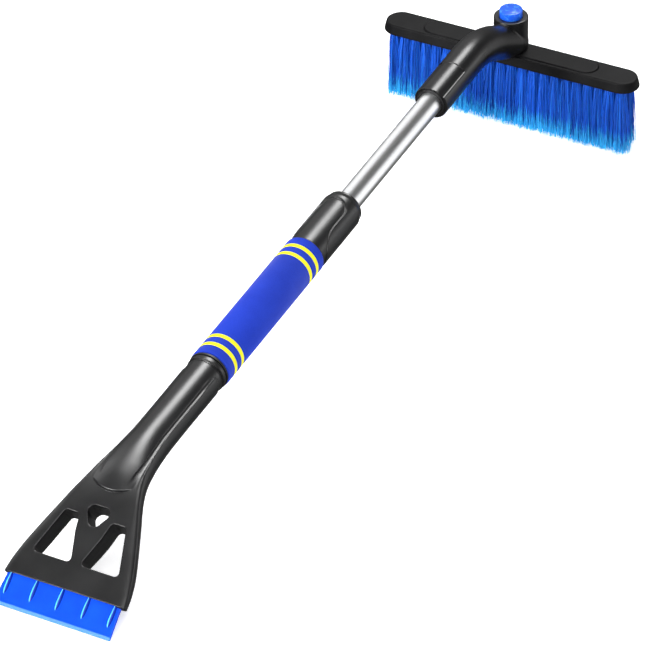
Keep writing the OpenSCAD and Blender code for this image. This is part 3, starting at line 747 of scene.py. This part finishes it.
class ScraperShape:
    """The scraper's socket, barrel and plate, in the pole frame."""

    # where the plate bends off, its length, the bend's reach to both sides, half the blade's edge
    bend_s, plate, reach, edge = 761.0, 100.0, 22.0, 0.4
    # radii of barrel, rim, socket and the hollow above it
    outside, rim_radius, socket_bore, hollow = 17.6, 18.4, 14.8, 12.5

    def __init__(self):
        self.start, self.end = along("scraper_head")
        self.half = size_of("scraper_head").x / 2
        self.blade_half = size_of("scraper_blade").x / 2
        # the slope of the plate, from the blade's edge on the floor and the bend on the pole
        bend = from_pole([(0, 0, self.bend_s)])[0] / MM
        run = bend[1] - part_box("scraper_blade")[0].y / MM
        self.bend = math.atan2(bend[2], run) - math.asin(self.edge / math.hypot(bend[2], run)) - TILT
        self.arc = self.reach / math.tan(self.bend / 2)
        rim, b, h = self.start, self.bend_s, self.half
        # sections along the centre line: place, half width, top, height above and below, squareness
        self.fan = table_of([
            [rim + 13, 18.3, 9.6, 18.3, 18.3, 2], [b - 70, 18.4, 9.6, 18.4, 18.4, 2],
            [b - 40, 20.4, 9.4, 17, 19, 2.1], [b - 16, 24.2, 8, 14, 20, 2.3], [b, 28, 6.2, 11, 20.5, 2.6],
            [b + 20, 34.8, 5.1, 8.5, 18.5, 3], [b + 45, 44, 5.1, 7, 17, 3.3], [b + 70, h - 6.2, 5.1, 6.4, 15, 4],
            [b + 88, h - 1.8, 5.1, 6, 9, 5], [b + 100, h, 5.1, 5.8, 4.4, 5]])
        # place, half width, height above and below, squareness
        self.barrel = table_of([
            [b - 62, 17.6, 17.6, 17.6, 2], [b - 48, 19, 17.3, 18, 2], [b - 30, 21.4, 15.4, 18, 2],
            [b - 12, 23.6, 12.2, 18, 2.05], [b + 2, 24.6, 9.2, 17, 2.1], [b + 12, 24.8, 7.2, 16, 2.2]])
        # openings on the plate: across it and down it
        self.window = rounded([(16, 33.5), (29, 33.5), (41.5, 76.5), (4.5, 76.5), (13, 49)], 3.4)
        self.hole = rounded([(-14, 22.5), (14, 22.5), (0, 47)], 5.5)

    def unbend(self, n, s):
        """Distance along the bent centre line and height above it."""
        cos, sin = math.cos(self.bend), math.sin(self.bend)
        down, up = (s - self.bend_s) * cos - n * sin, n * cos + (s - self.bend_s) * sin
        dy, ds = n + self.arc, s - (self.bend_s - self.reach)
        a = np.arctan2(ds, dy)
        turned = (a > 0) & (a < self.bend)
        u = np.where(a <= 0, s, self.bend_s + down)
        u = np.where(turned, self.bend_s - self.reach + a * 2 * self.reach / self.bend, u)
        h = np.where(turned, np.hypot(dy, ds) - self.arc, np.where(a <= 0, n, up))
        return u, h, down, up

    def __call__(self, x, n, s):
        u, h, down, up = self.unbend(n, s)
        r = np.hypot(x, n)
        F, B, b = self.fan, self.barrel, self.bend_s
        fan = squircle(x, h, F(u, 1), F(u, 3), F(u, 4), F(u, 5))
        fan = common(fan, h - F(u, 2), 1.0)
        fan = common(fan, np.maximum(self.start + 13 - u, u - b - self.plate), 0.8)
        barrel = squircle(x, h, B(u, 1), B(u, 2), B(u, 3), B(u, 4))
        barrel = common(barrel, np.maximum(b - 63 - u, u - b - 8 + 10 * (x / 24) ** 2), 1.5)
        tube = common(r - self.outside, slab(s, self.start + 6.5, b - 60), 0.3)
        rim = common(r - self.rim_radius, slab(s, self.start, self.start + 4.5), 0.5)
        groove = common(r - self.outside + 0.5, slab(s, self.start + 2, self.start + 9))
        body = join(tube, barrel)
        f = join(join(body, fan, 0.2), join(rim, groove, 0.3))
        # the seam between barrel and fan, running out at both ends
        lift = 1 - np.minimum(np.clip((b + 6 - u) / 22, 0, 1), np.clip((u - self.start - 14) / 25, 0, 1))
        seam = np.hypot(body - 0.1 - 1.6 * lift, h - F(u, 2) - 0.3 - 1.6 * lift) - 1.2
        f = cut(f, np.maximum(seam, self.start + 12 - u), 0.4)
        # socket
        f = cut(f, common(r - self.socket_bore, s - self.start - 59), 0.5)
        f = cut(f, common(r - self.hollow, slab(s, self.start + 50, b - 52)))
        # the latch's lead-in groove and window
        latch, wide = middle_along("lower_latch"), np.abs(x) - 5
        f = cut(f, common(wide, np.maximum(slab(n, -16.5, -4.5), s - latch - 8.5)))
        f = cut(f, common(wide, np.maximum(slab(n, -30, -10), np.abs(s - latch) - 7)), 0.5)
        # openings of the plate
        window, hole = polygon_field(np.abs(x), down, self.window), polygon_field(x, down, self.hole)
        f = cut(f, np.minimum(window, hole), 0.8)
        # slot for the blade
        tongue = TONGUE_INSET - 0.1
        slot = np.maximum(np.abs(x) - self.blade_half + tongue, slab(up, -0.15, BLADE_THICK + 0.15))
        return cut(f, np.maximum(slot, self.plate - TONGUE - 0.1 - down))


def rounded(points, radius, steps=5):
    """A polygon's points with its corners rounded."""
    made = []
    for i, b in enumerate(points):
        a, c = points[i - 1], points[(i + 1) % len(points)]
        a, b, c = np.array(a, float), np.array(b, float), np.array(c, float)
        u, w = (a - b) / np.linalg.norm(a - b), (c - b) / np.linalg.norm(c - b)
        half = math.acos(float(np.clip(u @ w, -1, 1))) / 2
        centre = b + (u + w) / np.linalg.norm(u + w) * radius / math.sin(half)
        first = b + u * radius / math.tan(half) - centre
        last = b + w * radius / math.tan(half) - centre
        for k in range(steps + 1):
            p = first + (last - first) * k / steps
            made.append(tuple(centre + p / np.linalg.norm(p) * radius))
    return made


class CollarShape:
    """The twist collar with its raised shell and the tongue in it, in the pole frame."""

    # how far the tongue lies under the shell, and the radii of the throat and of the bore for the collet
    sunk, throat, bore = 0.9, 11.3, 16.3
    # the gap round the tongue's tip: its radius, and how deep and how far out its middle lies
    gap, gap_depth, gap_out = 1.1, 0.95, 0.9

    def __init__(self):
        self.start, self.end = along("lock_collar")
        self.radius = size_of("lock_collar").x / 2
        # the shell's outline on the unrolled collar: distance down the pole, distance round from the horizontal
        top, edge = self.radius * math.pi / 2, self.radius * math.pi / 4
        self.outline = [(0, -top - 2), (0, top + 2), (10.8, top + 2)]
        for a in np.radians(range(0, 91, 6)):
            self.outline.append((24 - 13 * math.cos(a), top - (top - edge) * math.sin(a)))
        for a in np.radians(range(0, 81, 5)):
            self.outline.append((46 + 26 * math.sin(a), edge - 24 * (1 - math.cos(a))))
        self.outline.append((72.5, -top - 2))

    def __call__(self, x, n, s):
        R, length = self.radius, self.end - self.start
        r, s = np.hypot(x, n), s - self.start
        core = common(r - R + self.sunk, slab(s, 8, length), 0.8)
        shell = common(r - np.minimum(R, R - 1.6 + np.maximum(s - 2.5, 0) * 0.32), slab(s, 0, 80), 0.8)
        outline = polygon_field(s, R * np.arctan2(n, np.abs(x)), self.outline)
        f = join(core, common(shell, outline, 0.6), 0.5)
        # the gap round the tip of the tongue fades out along its side
        middle = R - self.gap_depth + 2.6 * np.clip((s - 17) / 24, 0, 1)
        gap = np.hypot(outline - self.gap_out, np.maximum(middle - r, 0)) - self.gap
        f = cut(f, np.maximum(gap, -n), 0.6)
        f = cut(f, r - self.throat, 0.5)
        return cut(f, np.maximum(r - self.bore, 5.6 - s), 0.2)


class BlockShape:
    """The brush block's cover with its raised deck, in the hub frame."""

    # how far the walls lean in, the raised deck's length, width and height, half the width of the hollow
    lean, deck, deck_width, deck_height, hollow = 2.5, 184.0, 24.0, 1.5, 12.8

    def __init__(self):
        low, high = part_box("brush_cover")
        self.low, self.high = low.z / MM, high.z / MM
        self.length, self.width = size_of("brush_cover").x, size_of("brush_cover").y

    def __call__(self, x, y, z):
        rim = self.high - self.deck_height
        t = np.clip((z - self.low) / (rim - self.low), -0.2, 1.2)
        straight = (self.length - self.width) / 2
        flat = np.hypot(np.maximum(np.abs(x) - straight, 0), y)
        walls = (flat - self.width / 2 + self.lean * t) / math.hypot(1, self.lean / (rim - self.low))
        f = common(walls, slab(z, self.low, rim), 1.3)
        deck = np.hypot(np.maximum(np.abs(x) - (self.deck - self.deck_width) / 2, 0), y) - self.deck_width / 2
        f = join(f, common(deck, slab(z, rim - 3, self.high), 0.7), 0.25)
        return cut(f, common(flat - self.hollow, z - rim + 2.2), 0.4)


class BladeShape:
    """The scraper's blade, in its plate's frame (x, height, distance down the plate)."""

    out = 29

    def __init__(self, head):
        self.half, self.plate, self.end = head.blade_half, head.plate, head.plate + self.out
        p, e, edge = self.plate, self.end, head.edge
        self.side = [(p - TONGUE, 0), (p - TONGUE, BLADE_THICK), (p, BLADE_THICK), (e - 3, 1.4), (e, edge), (e, -edge)]

    def __call__(self, x, n, down):
        side = polygon_field(down, n, self.side)
        half = self.half - 2 + 2 * np.clip((down - self.plate - 2) / (self.end - self.plate - 3.5), 0, 1)
        half = np.where(down < self.plate + 0.1, self.half - TONGUE_INSET, half)
        return common(side + 0 * x, np.abs(x) - half, 0.35)


# ---- Operators ----


class Builder:
    """What every operator of this file shares."""

    bl_options = {"REGISTER", "UNDO"}

    def execute(self, context):
        self.make()
        return {"FINISHED"}


class SNOWBRUSH_OT_camera(Builder, bpy.types.Operator):
    """Aims the camera down at the tool from the side"""

    bl_idname = "snow_brush.camera"
    bl_label = "Camera"

    target = Vector((-5.1, 46.0, -7.0))
    azimuth, elevation, roll = 28.71, 35.30, -1.26
    distance, lens = 3904.7, 239.18

    def make(self):
        a, e = math.radians(self.azimuth), math.radians(self.elevation)
        back = Vector((math.sin(a) * math.cos(e), -math.cos(a) * math.cos(e), math.sin(e)))
        data = bpy.data.cameras.new("camera")
        data.lens, data.sensor_width = self.lens, 36
        data.clip_start, data.clip_end = 0.1, 20
        camera = bpy.data.objects.new("camera", data)
        camera.rotation_mode = "QUATERNION"
        camera.location = (self.target + back * self.distance) * MM
        camera.rotation_quaternion = (-back).to_track_quat("-Z", "Y") @ Quaternion((0, 0, 1), math.radians(self.roll))
        bpy.context.scene.collection.objects.link(camera)
        bpy.context.scene.camera = camera


class SNOWBRUSH_OT_stage(Builder, bpy.types.Operator):
    """Lays the pale floor and hangs the soft lights"""

    bl_idname = "snow_brush.stage"
    bl_label = "Floor and Lights"

    # name, place in metres, size, power in watts
    lights = [
        ("front_light", (0.9, -2.2, 2.6), (2.4, 2.4), 70),
        ("side_light", (-2.6, 0.2, 1.9), (1.6, 2.2), 20),
    ]
    # name, direction, width in degrees, strength, seen in reflections only, on the bare tube only (or on all but it)
    far_lights = [
        ("key_light", (-0.05, 0.55, 0.83), 24, 1.25, False, False),
        ("stripe_light", (-0.05, 0.55, 0.83), 28, 1.6, True, False),
        ("edge_light", (0.76, 0.64, 0.08), 14, 0.12, True, False),
        ("tube_left_light", (-0.62, 0.56, 0.55), 50, 0.46, False, True),
        ("tube_right_light", (0.73, 0.67, 0.06), 46, 0.46, False, True),
    ]
    # direction, full and fading radius in degrees, brightness: what the pieces mirror
    softboxes = [
        ((-0.60, 0.58, 0.55), 14, 34, 0.55),
        ((0.70, 0.68, -0.05), 14, 30, 0.70),
        ((-0.20, 0.20, 0.95), 6, 14, 6.0),
        ((-0.39, -0.81, 0.32), 8, 13, 24.0),
    ]
    ambient = 0.12

    def make(self):
        self.lay_floor()
        for name, place, extent, power in self.lights:
            data = bpy.data.lights.new(name, "AREA")
            data.shape, (data.size, data.size_y) = "RECTANGLE", extent
            data.energy = power
            lamp = self.hang(name, data, place)
            lamp.location = place
            lamp.visible_camera = False
        self.hang_far_lights()
        self.paint_studio()
        bpy.context.scene.view_settings.view_transform = "Standard"

    @staticmethod
    def hang(name, data, towards):
        """A lamp that shines from a direction on the object."""
        lamp = bpy.data.objects.new(name, data)
        lamp.rotation_mode = "QUATERNION"
        lamp.rotation_quaternion = (-Vector(towards)).to_track_quat("-Z", "Y")
        bpy.context.scene.collection.objects.link(lamp)
        return lamp

    @staticmethod
    def lay_floor():
        b = bmesh.new()
        bmesh.ops.create_grid(b, x_segments=1, y_segments=1, size=8)
        mesh = bpy.data.meshes.new("floor")
        b.to_mesh(mesh)
        b.free()
        f = Finish("pale_floor", Base_Color=(0.93, 0.93, 0.94, 1), Specular_IOR_Level=0.1,
                   Emission_Color=(1, 1, 1, 1), Emission_Strength=0.6)
        fine = f.noise(f.place(), 40, 2.0)
        f.set(Roughness=0.75 + 0.05 * (fine - 0.5))
        mesh.materials.append(f.material)
        floor = bpy.data.objects.new("floor", mesh)
        floor.location = (0, 0, -0.0005)
        bpy.context.scene.collection.objects.link(floor)
        # mirroring surfaces see a black studio below
        floor.visible_glossy = floor.visible_shadow = False

    def hang_far_lights(self):
        linked = {}
        for tube_only, name, state in ((True, "lit_tube", "INCLUDE"), (False, "shaded_tube", "EXCLUDE")):
            linked[tube_only] = bpy.data.collections.new(name)
            linked[tube_only].objects.link(bpy.data.objects["sliding_tube"])
            linked[tube_only].collection_objects[0].light_linking.link_state = state
        for name, towards, width, strength, mirrored_only, tube_only in self.far_lights:
            data = bpy.data.lights.new(name, "SUN")
            data.angle, data.energy = math.radians(width), strength
            lamp = self.hang(name, data, towards)
            lamp.light_linking.receiver_collection = linked[tube_only]
            lamp.visible_diffuse = not mirrored_only

    def paint_studio(self):
        """The dim studio with its bright boxes, which the pieces mirror."""
        world = bpy.data.worlds.new("studio")
        world.use_nodes = True
        net = Net(world.node_tree)
        looking = net.node("ShaderNodeTexCoord", out="Generated")
        level = self.ambient
        for direction, full, fade, brightness in self.softboxes:
            facing = net.node("ShaderNodeVectorMath", {"operation": "DOT_PRODUCT"}, {
                0: looking, 1: Vector(direction).normalized()}, out="Value")
            inside = net.between(facing, math.cos(math.radians(fade)), math.cos(math.radians(full)))
            level = inside * (brightness - level) + level
        background = world.node_tree.nodes["Background"]
        background.inputs["Color"].default_value = (1, 1, 1, 1)
        net.put(background.inputs["Strength"], level)
        bpy.context.scene.world = world


class SNOWBRUSH_OT_block(Builder, bpy.types.Operator):
    """Moulds the brush block's cover"""

    bl_idname = "snow_brush.block"
    bl_label = "Brush Block"

    def make(self):
        shape = BlockShape()
        across, along_y = shape.length / 2 + MARGIN, shape.width / 2 + MARGIN
        low, high = (-across, -along_y, shape.low - MARGIN), (across, along_y, shape.high + MARGIN)
        moulded("brush_block", shape, low, high, sizes().mesh_step, from_hub, turn_hub,
                "block", "brush_head", ["brush_cover"])
        give("block", "tuft_plate")
        give("inner", "pivot_post", "lock_ring")
        give("steel", "post_screws", "pivot_washer", "pivot_screw", "button_spring")


class Geo(Net):
    """A Geometry Nodes tree with named inputs, run once on an object."""

    def __init__(self, name, inputs):
        tree = bpy.data.node_groups.new(name, "GeometryNodeTree")
        super().__init__(tree)
        tree.interface.new_socket("Geometry", in_out="INPUT", socket_type="NodeSocketGeometry")
        tree.interface.new_socket("Geometry", in_out="OUTPUT", socket_type="NodeSocketGeometry")
        self.inputs = []
        for label, value in inputs.items():
            kind = {int: "Int", float: "Float"}.get(type(value), "Material")
            socket = tree.interface.new_socket(label, in_out="INPUT", socket_type="NodeSocket" + kind)
            self.inputs.append((socket.identifier, value))
        self.source = tree.nodes.new("NodeGroupInput")
        self.sink = tree.nodes.new("NodeGroupOutput")

    def read(self, label):
        return Value(self, self.source.outputs[label])

    def vector(self, x, y, z):
        return self.node("ShaderNodeCombineXYZ", None, {0: x, 1: y, 2: z})

    def vector_math(self, operation, **terms):
        return self.node("ShaderNodeVectorMath", {"operation": operation}, {
            {"a": 0, "b": 1, "scale": "Scale"}[key]: value for key, value in terms.items()})

    def store(self, geometry, name, value, kind="FLOAT"):
        return self.node("GeometryNodeStoreNamedAttribute", {"data_type": kind, "domain": "POINT"}, {
            "Geometry": geometry, "Name": name, "Value": value})

    def named(self, name, kind="FLOAT"):
        return self.node("GeometryNodeInputNamedAttribute", {"data_type": kind}, {"Name": name})

    def realized(self, geometry):
        return self.node("GeometryNodeRealizeInstances", None, {"Geometry": geometry})

    def finish(self, geometry):
        self.put(self.sink.inputs[0], self.node("GeometryNodeSetMaterial", None, {
            "Geometry": self.realized(geometry), "Material": self.read("Finish")}))

    def run(self, mesh):
        """The tree's result on a mesh, as a plain mesh."""
        holder = bpy.data.objects.new("holder", mesh)
        bpy.context.scene.collection.objects.link(holder)
        modifier = holder.modifiers.new("nodes", "NODES")
        modifier.node_group = self.tree
        for identifier, value in self.inputs:
            modifier[identifier] = value
        bpy.context.view_layer.update()
        graph = bpy.context.evaluated_depsgraph_get()
        result = bpy.data.meshes.new_from_object(
            holder.evaluated_get(graph), preserve_all_data_layers=True, depsgraph=graph)
        holder.modifiers.clear()
        bpy.data.objects.remove(holder)
        return result


def bristle_row(tufts, row_y, root_z, seed):
    """One row of tufts: every fibre leans out from its tuft and ends at its own height."""
    s = sizes()
    g = Geo("bristles", {
        "Tufts": tufts, "Fibres": s.fibres, "Pitch": s.tuft_pitch * MM, "Row": row_y * MM,
        "Root Height": root_z * MM, "Length": root_z * MM, "Root Radius": 4.3 * MM, "Tip Radius": 8.4 * MM,
        "Thickness": 0.27 * MM, "Ragged": s.tip_ragged * MM, "Wander": 1.6 * MM, "Seed": seed,
        "Finish": material("bristle")})
    index = g.node("GeometryNodeInputIndex")

    def random(low, high, salt):
        """A random number for each fibre, or a vector of them."""
        single = isinstance(low, float)
        kind, slot = ("FLOAT", 2) if single else ("FLOAT_VECTOR", 0)
        return g.node("FunctionNodeRandomValue", {"data_type": kind}, {
            slot: low, slot + 1: high, "ID": index, "Seed": g.read("Seed") + salt}, out=int(single))

    # the tufts stand in a line, a little askew, each its own way
    tuft = index.calc("FLOOR", (index + 0.5) / g.read("Fibres"))
    centre = (tuft - (g.read("Tufts") - 1.0) / 2.0) * g.read("Pitch")
    askew = g.node("ShaderNodeTexWhiteNoise", {"noise_dimensions": "2D"}, {
        "Vector": g.vector(tuft, g.read("Seed"), 0.0)}, out="Color")
    askew = (g.node("ShaderNodeSeparateXYZ", None, {0: askew}) - 0.5) * 4.0 * MM

    # a fibre's place in its tuft, how far its tip leans out, and how far it hangs
    turn = random(0.0, 2 * math.pi, 0)
    cos, sin = turn.calc("COSINE", turn), turn.calc("SINE", turn)
    reach = random(0.0, 1.0, 1) ** 0.55
    root = reach * g.read("Root Radius")
    spread = reach * (g.read("Tip Radius") - g.read("Root Radius"))
    lean_x = spread * cos + askew + random(-2.2 * MM, 2.2 * MM, 4)
    lean_y = spread * sin + random(-1.8 * MM, 1.8 * MM, 5)
    drop = g.read("Length") - random(0.0, 1.0, 2) ** 2.2 * g.read("Ragged")

    points = g.node("GeometryNodePoints", None, {
        "Count": g.read("Tufts") * g.read("Fibres"),
        "Position": g.vector(centre + root * cos, g.read("Row") + root * sin, g.read("Root Height"))})
    points = g.store(points, "own", random(0.0, 1.0, 3))
    points = g.store(points, "lean", g.vector(lean_x, lean_y, 0.0), "FLOAT_VECTOR")
    points = g.store(points, "wander", random((-1.0, -1.0, 0.0), (1.0, 1.0, 0.0), 6), "FLOAT_VECTOR")

    fibre = g.node("GeometryNodeMeshCone", {"fill_type": "NONE"}, {
        "Vertices": 3, "Side Segments": 5, "Depth": 1.0,
        "Radius Top": g.read("Thickness") * 0.7, "Radius Bottom": g.read("Thickness")})
    height = g.node("ShaderNodeSeparateXYZ", None, {0: g.node("GeometryNodeInputPosition")}, out=2)
    fibre = g.store(fibre, "along", height)
    grown = g.realized(g.node("GeometryNodeInstanceOnPoints", None, {
        "Points": points, "Instance": fibre, "Scale": g.vector(1.0, 1.0, drop * -1.0)}))

    # down its length a fibre leans more and more, and bows
    down = g.named("along")
    bow = down * (1.0 - down) * 4.0 * g.read("Wander")
    lean = g.vector_math("SCALE", a=g.named("lean", "FLOAT_VECTOR"), scale=down)
    bent = g.vector_math("SCALE", a=g.named("wander", "FLOAT_VECTOR"), scale=bow)
    g.finish(g.node("GeometryNodeSetPosition", None, {
        "Geometry": grown, "Offset": g.vector_math("ADD", a=lean, b=bent)}))
    mesh = g.run(bpy.data.meshes.new("seed"))
    for name in ("lean", "wander"):
        if name in mesh.attributes:
            mesh.attributes.remove(mesh.attributes[name])
    mesh.transform(Matrix.Translation((HUB.x, HUB.y, 0)))
    return mesh


class SNOWBRUSH_OT_bristles(Builder, bpy.types.Operator):
    """Grows the three rows of bristles"""

    bl_idname = "snow_brush.bristles"
    bl_label = "Bristles"

    def make(self):
        # the fibres start 1 mm inside the plate and reach the floor
        root_z = height_of("tuft_plate", 0) + 1.0
        for k, (place, tufts) in enumerate((("front", 22), ("middle", 21), ("rear", 22))):
            low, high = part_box(f"tufts_{place}")
            row_y = ((low.y + high.y) / 2 - HUB.y) / MM
            mesh = bristle_row(tufts, row_y, root_z, sizes().seed + 100 * k)
            finish_piece(f"bristles_{place}", mesh, None, "brush_head", [f"tufts_{place}"])


class SNOWBRUSH_OT_neck(Builder, bpy.types.Operator):
    """Moulds the neck arm with its swivel hub"""

    bl_idname = "snow_brush.neck"
    bl_label = "Neck Arm"

    def make(self):
        shape = NeckShape()
        half = 19
        low, high = (-half, -shape.mouth - 8, shape.bottom - 3), (half, half, height_of("neck_arm") + 3)
        moulded("neck", shape, low, high, sizes().mesh_step, from_hub, turn_hub, "neck", "neck", ["neck_arm"])


class SNOWBRUSH_OT_button(Builder, bpy.types.Operator):
    """Turns the release button"""

    bl_idname = "snow_brush.button"
    bl_label = "Release Button"

    def make(self):
        low, high = height_of("release_button", 0), height_of("release_button")
        r, bore, edge = size_of("release_button").x / 2, 9.2, 1.2
        outline = [(bore, low), (r, low), (r, high - 3.2)]
        outline += [(r - edge + edge * math.cos(a), high - 1.9 + edge * math.sin(a)) for a in np.linspace(0, 1.3, 7)]
        # the crowned top, then the hollow under it
        outline += [(q, high - (q / (r * 0.75)) ** 2 * 0.72) for q in np.linspace(r * 0.8, 0.02, 9)]
        outline += [(0.02, low + 9), (bore, low + 9)]
        verts, faces = lathe([(z, q) for q, z in outline], 80)
        mesh = tidy_mesh(verts, faces, from_hub, 40)
        finish_piece("release_button_cap", mesh, "button", "release_button", ["release_button"])


class SNOWBRUSH_OT_tubes(Builder, bpy.types.Operator):
    """Draws the sliding tube and finishes what is inside the pole"""

    bl_idname = "snow_brush.tubes"
    bl_label = "Pole Tubes"

    def make(self):
        start, end = along("inner_tube")
        bore, r, edge = 9.8, 11.0, 0.2
        verts, faces = lathe([
            (start, bore), (start, r - edge), (start + edge, r), (end - edge, r), (end, r - edge), (end, bore)], 96)
        finish_piece("sliding_tube", tidy_mesh(verts, faces, from_pole), "tube", "inner_pole",
                     ["inner_tube"])
        give("tube", "outer_tube")
        give("inner", "top_plug", "guide_rings", "top_latch", "lower_latch", "lower_plug", "collet")
        give("steel", "top_latch_spring", "lower_latch_spring")


class SNOWBRUSH_OT_collar(Builder, bpy.types.Operator):
    """Moulds the twist collar"""

    bl_idname = "snow_brush.collar"
    bl_label = "Twist Collar"

    def make(self):
        shape = CollarShape()
        r, finest = shape.radius + MARGIN, 0.55
        moulded("twist_collar", shape, (-r, -r, shape.start - MARGIN), (r, r, shape.end + MARGIN),
                min(sizes().mesh_step, finest), from_pole, turn_pole, "collar", "lock_collar", ["lock_collar"])


class SNOWBRUSH_OT_grip(Builder, bpy.types.Operator):
    """Pulls the foam sleeve and its coloured bands over the pole"""

    bl_idname = "snow_brush.grip"
    bl_label = "Foam Grip"

    def make(self):
        start, end = along("foam_grip")
        r, bore, edge, half_band, sunk = size_of("foam_grip").x / 2, 13.05, 1.4, 2.2, 0.5
        middles = (start + 12.5, start + 24.5, end - 24.5, end - 12.5)
        bands = [(s - half_band, s + half_band) for s in middles]
        rounding = [(edge * math.cos(a), edge * math.sin(a)) for a in np.linspace(0.3, math.pi / 2, 6)]
        outline = [(start, bore), (start, r - edge)]
        outline += [(start + edge - c, r - edge + s) for c, s in rounding]
        for low, high in bands:
            outline += [(low - 0.25, r), (low, r - 0.18), (low, r - sunk),
                        (high, r - sunk), (high, r - 0.18), (high + 0.25, r)]
        outline += [(end - edge + c, r - edge + s) for c, s in rounding[::-1]]
        outline += [(end, r - edge), (end, bore)]
        verts, faces = lathe(outline, 128)
        sleeve = finish_piece("foam_sleeve", tidy_mesh(verts, faces, from_pole, 50), "foam", "handle",
                              ["foam_grip"])
        verts, faces = [], []
        for low, high in bands:
            v, f = lathe([(low, r - sunk), (low + 0.02, r - 0.1), (low + 0.3, r + 0.04),
                          (high - 0.3, r + 0.04), (high - 0.02, r - 0.1), (high, r - sunk)], 128)
            faces += [tuple(i + len(verts) for i in q) for q in f]
            verts += v
        finish_piece("grip_bands", tidy_mesh(verts, faces, from_pole, 50), "band", "handle",
                     ["grip_stripes"])


class SNOWBRUSH_OT_scraper(Builder, bpy.types.Operator):
    """Moulds the scraper head"""

    bl_idname = "snow_brush.scraper"
    bl_label = "Scraper Head"

    def make(self):
        shape = ScraperShape()
        height = (points_of("scraper_head") - np.array(ORIGIN)) @ np.array(UPWARD) / MM
        low = (-shape.half - MARGIN, height.min() - MARGIN, shape.start - MARGIN)
        high = (shape.half + MARGIN, height.max() + MARGIN, shape.end + MARGIN + 1)
        moulded("scraper_body", shape, low, high, sizes().mesh_step + 0.1, from_pole, turn_pole,
                "scraper", "scraper", ["scraper_head"])


def plate_place(shape):
    """Two functions that take points and directions of the plate's frame to the world."""
    cos, sin = math.cos(shape.bend), math.sin(shape.bend)

    def place(p):
        p = np.asarray(p, float)
        n = p[:, 1] * cos - p[:, 2] * sin
        s = p[:, 1] * sin + p[:, 2] * cos + shape.bend_s
        return from_pole(np.stack([p[:, 0], n, s], 1))

    def turned(v):
        return turn_pole(np.stack([v[:, 0], v[:, 1] * cos - v[:, 2] * sin, v[:, 1] * sin + v[:, 2] * cos], 1))

    return place, turned


class SNOWBRUSH_OT_blade(Builder, bpy.types.Operator):
    """Moulds the blade and repeats its ribs"""

    bl_idname = "snow_brush.blade"
    bl_label = "Scraper Blade"

    def make(self):
        head = ScraperShape()
        shape = BladeShape(head)
        place, turned = plate_place(head)
        low = (-shape.half - 1, -1.5, shape.plate - TONGUE - 1)
        high = (shape.half + 1, 4.5, shape.end + 1)
        moulded("blade", shape, low, high, 0.5, place, turned, "blade", "scraper", ["scraper_blade"])
        pitch, count = sizes().rib_pitch, 5
        verts, faces = self.rib(shape.plate)
        first = np.array((-(count - 1) / 2 * pitch, 0, 0))
        rib = tidy_mesh(verts, faces, lambda v: place(np.array(v, float) + first), 60)
        g = Geo("blade_ribs", {"Ribs": count, "Pitch": pitch * MM, "Finish": material("rib")})
        line = g.node("GeometryNodeMeshLine", {"mode": "OFFSET"}, {
            "Count": g.read("Ribs"), "Offset": g.vector(g.read("Pitch"), 0.0, 0.0)})
        g.finish(g.node("GeometryNodeInstanceOnPoints", None, {"Points": line, "Instance": g.read("Geometry")}))
        finish_piece("blade_ribs", g.run(rib), None, "scraper", [], smooth=False)

    @staticmethod
    def rib(plate):
        """A rib that swells from the plate and runs out on the blade."""
        # cross-sections along it: distance from the plate, height, half width
        sections = [(0.3, 5.0, 1.2), (4, 5.0, 1.6), (8, 4.8, 1.8), (12, 4.3, 1.8), (15, 3.6, 1.6), (17.5, 2.7, 1.2),
                    (19, 1.9, 0.5)]
        ring, foot = 10, 1.0
        verts, faces = [], []
        for out, top, wide in sections:
            for a in np.linspace(0, math.pi, ring):
                rise = max(math.sin(a), 0.0)
                flare = 1.0 + 0.25 * (1 - rise)
                verts.append((wide * math.cos(a) * flare, foot + (top - foot) * rise ** 0.8, plate + out))
        for i in range(0, len(verts) - ring, ring):
            for k in range(ring - 1):
                faces.append((i + k, i + k + 1, i + ring + k + 1, i + ring + k))
            faces.append((i + ring, i + 2 * ring - 1, i + ring - 1, i))
        last = len(verts) - ring
        faces += [tuple(range(ring - 1, -1, -1)), tuple(range(last, last + ring))]
        return verts, faces


# the stage comes last, because two of its lights shine on the tube alone
STEPS = [SNOWBRUSH_OT_camera, SNOWBRUSH_OT_block, SNOWBRUSH_OT_bristles, SNOWBRUSH_OT_neck, SNOWBRUSH_OT_button,
         SNOWBRUSH_OT_tubes, SNOWBRUSH_OT_collar, SNOWBRUSH_OT_grip, SNOWBRUSH_OT_scraper, SNOWBRUSH_OT_blade,
         SNOWBRUSH_OT_stage]


class SNOWBRUSH_PT_panel(bpy.types.Panel):
    """Lists the parts of the snow brush and their settings"""

    bl_idname = "SNOWBRUSH_PT_panel"
    bl_label = "Snow Brush Scraper"
    bl_space_type = "VIEW_3D"
    bl_region_type = "UI"
    bl_category = "Snow Brush"

    def draw(self, context):
        for step in STEPS:
            self.layout.operator(step.bl_idname)
        for group in (context.scene.snow_brush_sizes, context.scene.snow_brush_colours):
            for key in group.__annotations__:
                self.layout.prop(group, key)


CLASSES = [SNOWBRUSH_PG_sizes, SNOWBRUSH_PG_colours, *STEPS, SNOWBRUSH_PT_panel]


def register():
    for made in CLASSES:
        bpy.utils.register_class(made)
    bpy.types.Scene.snow_brush_sizes = PointerProperty(type=SNOWBRUSH_PG_sizes)
    bpy.types.Scene.snow_brush_colours = PointerProperty(type=SNOWBRUSH_PG_colours)


def unregister():
    del bpy.types.Scene.snow_brush_sizes, bpy.types.Scene.snow_brush_colours
    for made in reversed(CLASSES):
        bpy.utils.unregister_class(made)


def main():
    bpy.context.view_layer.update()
    register()
    for step in STEPS:
        group, name = step.bl_idname.split(".")
        getattr(getattr(bpy.ops, group), name)()


if __name__ == "__main__":
    main()
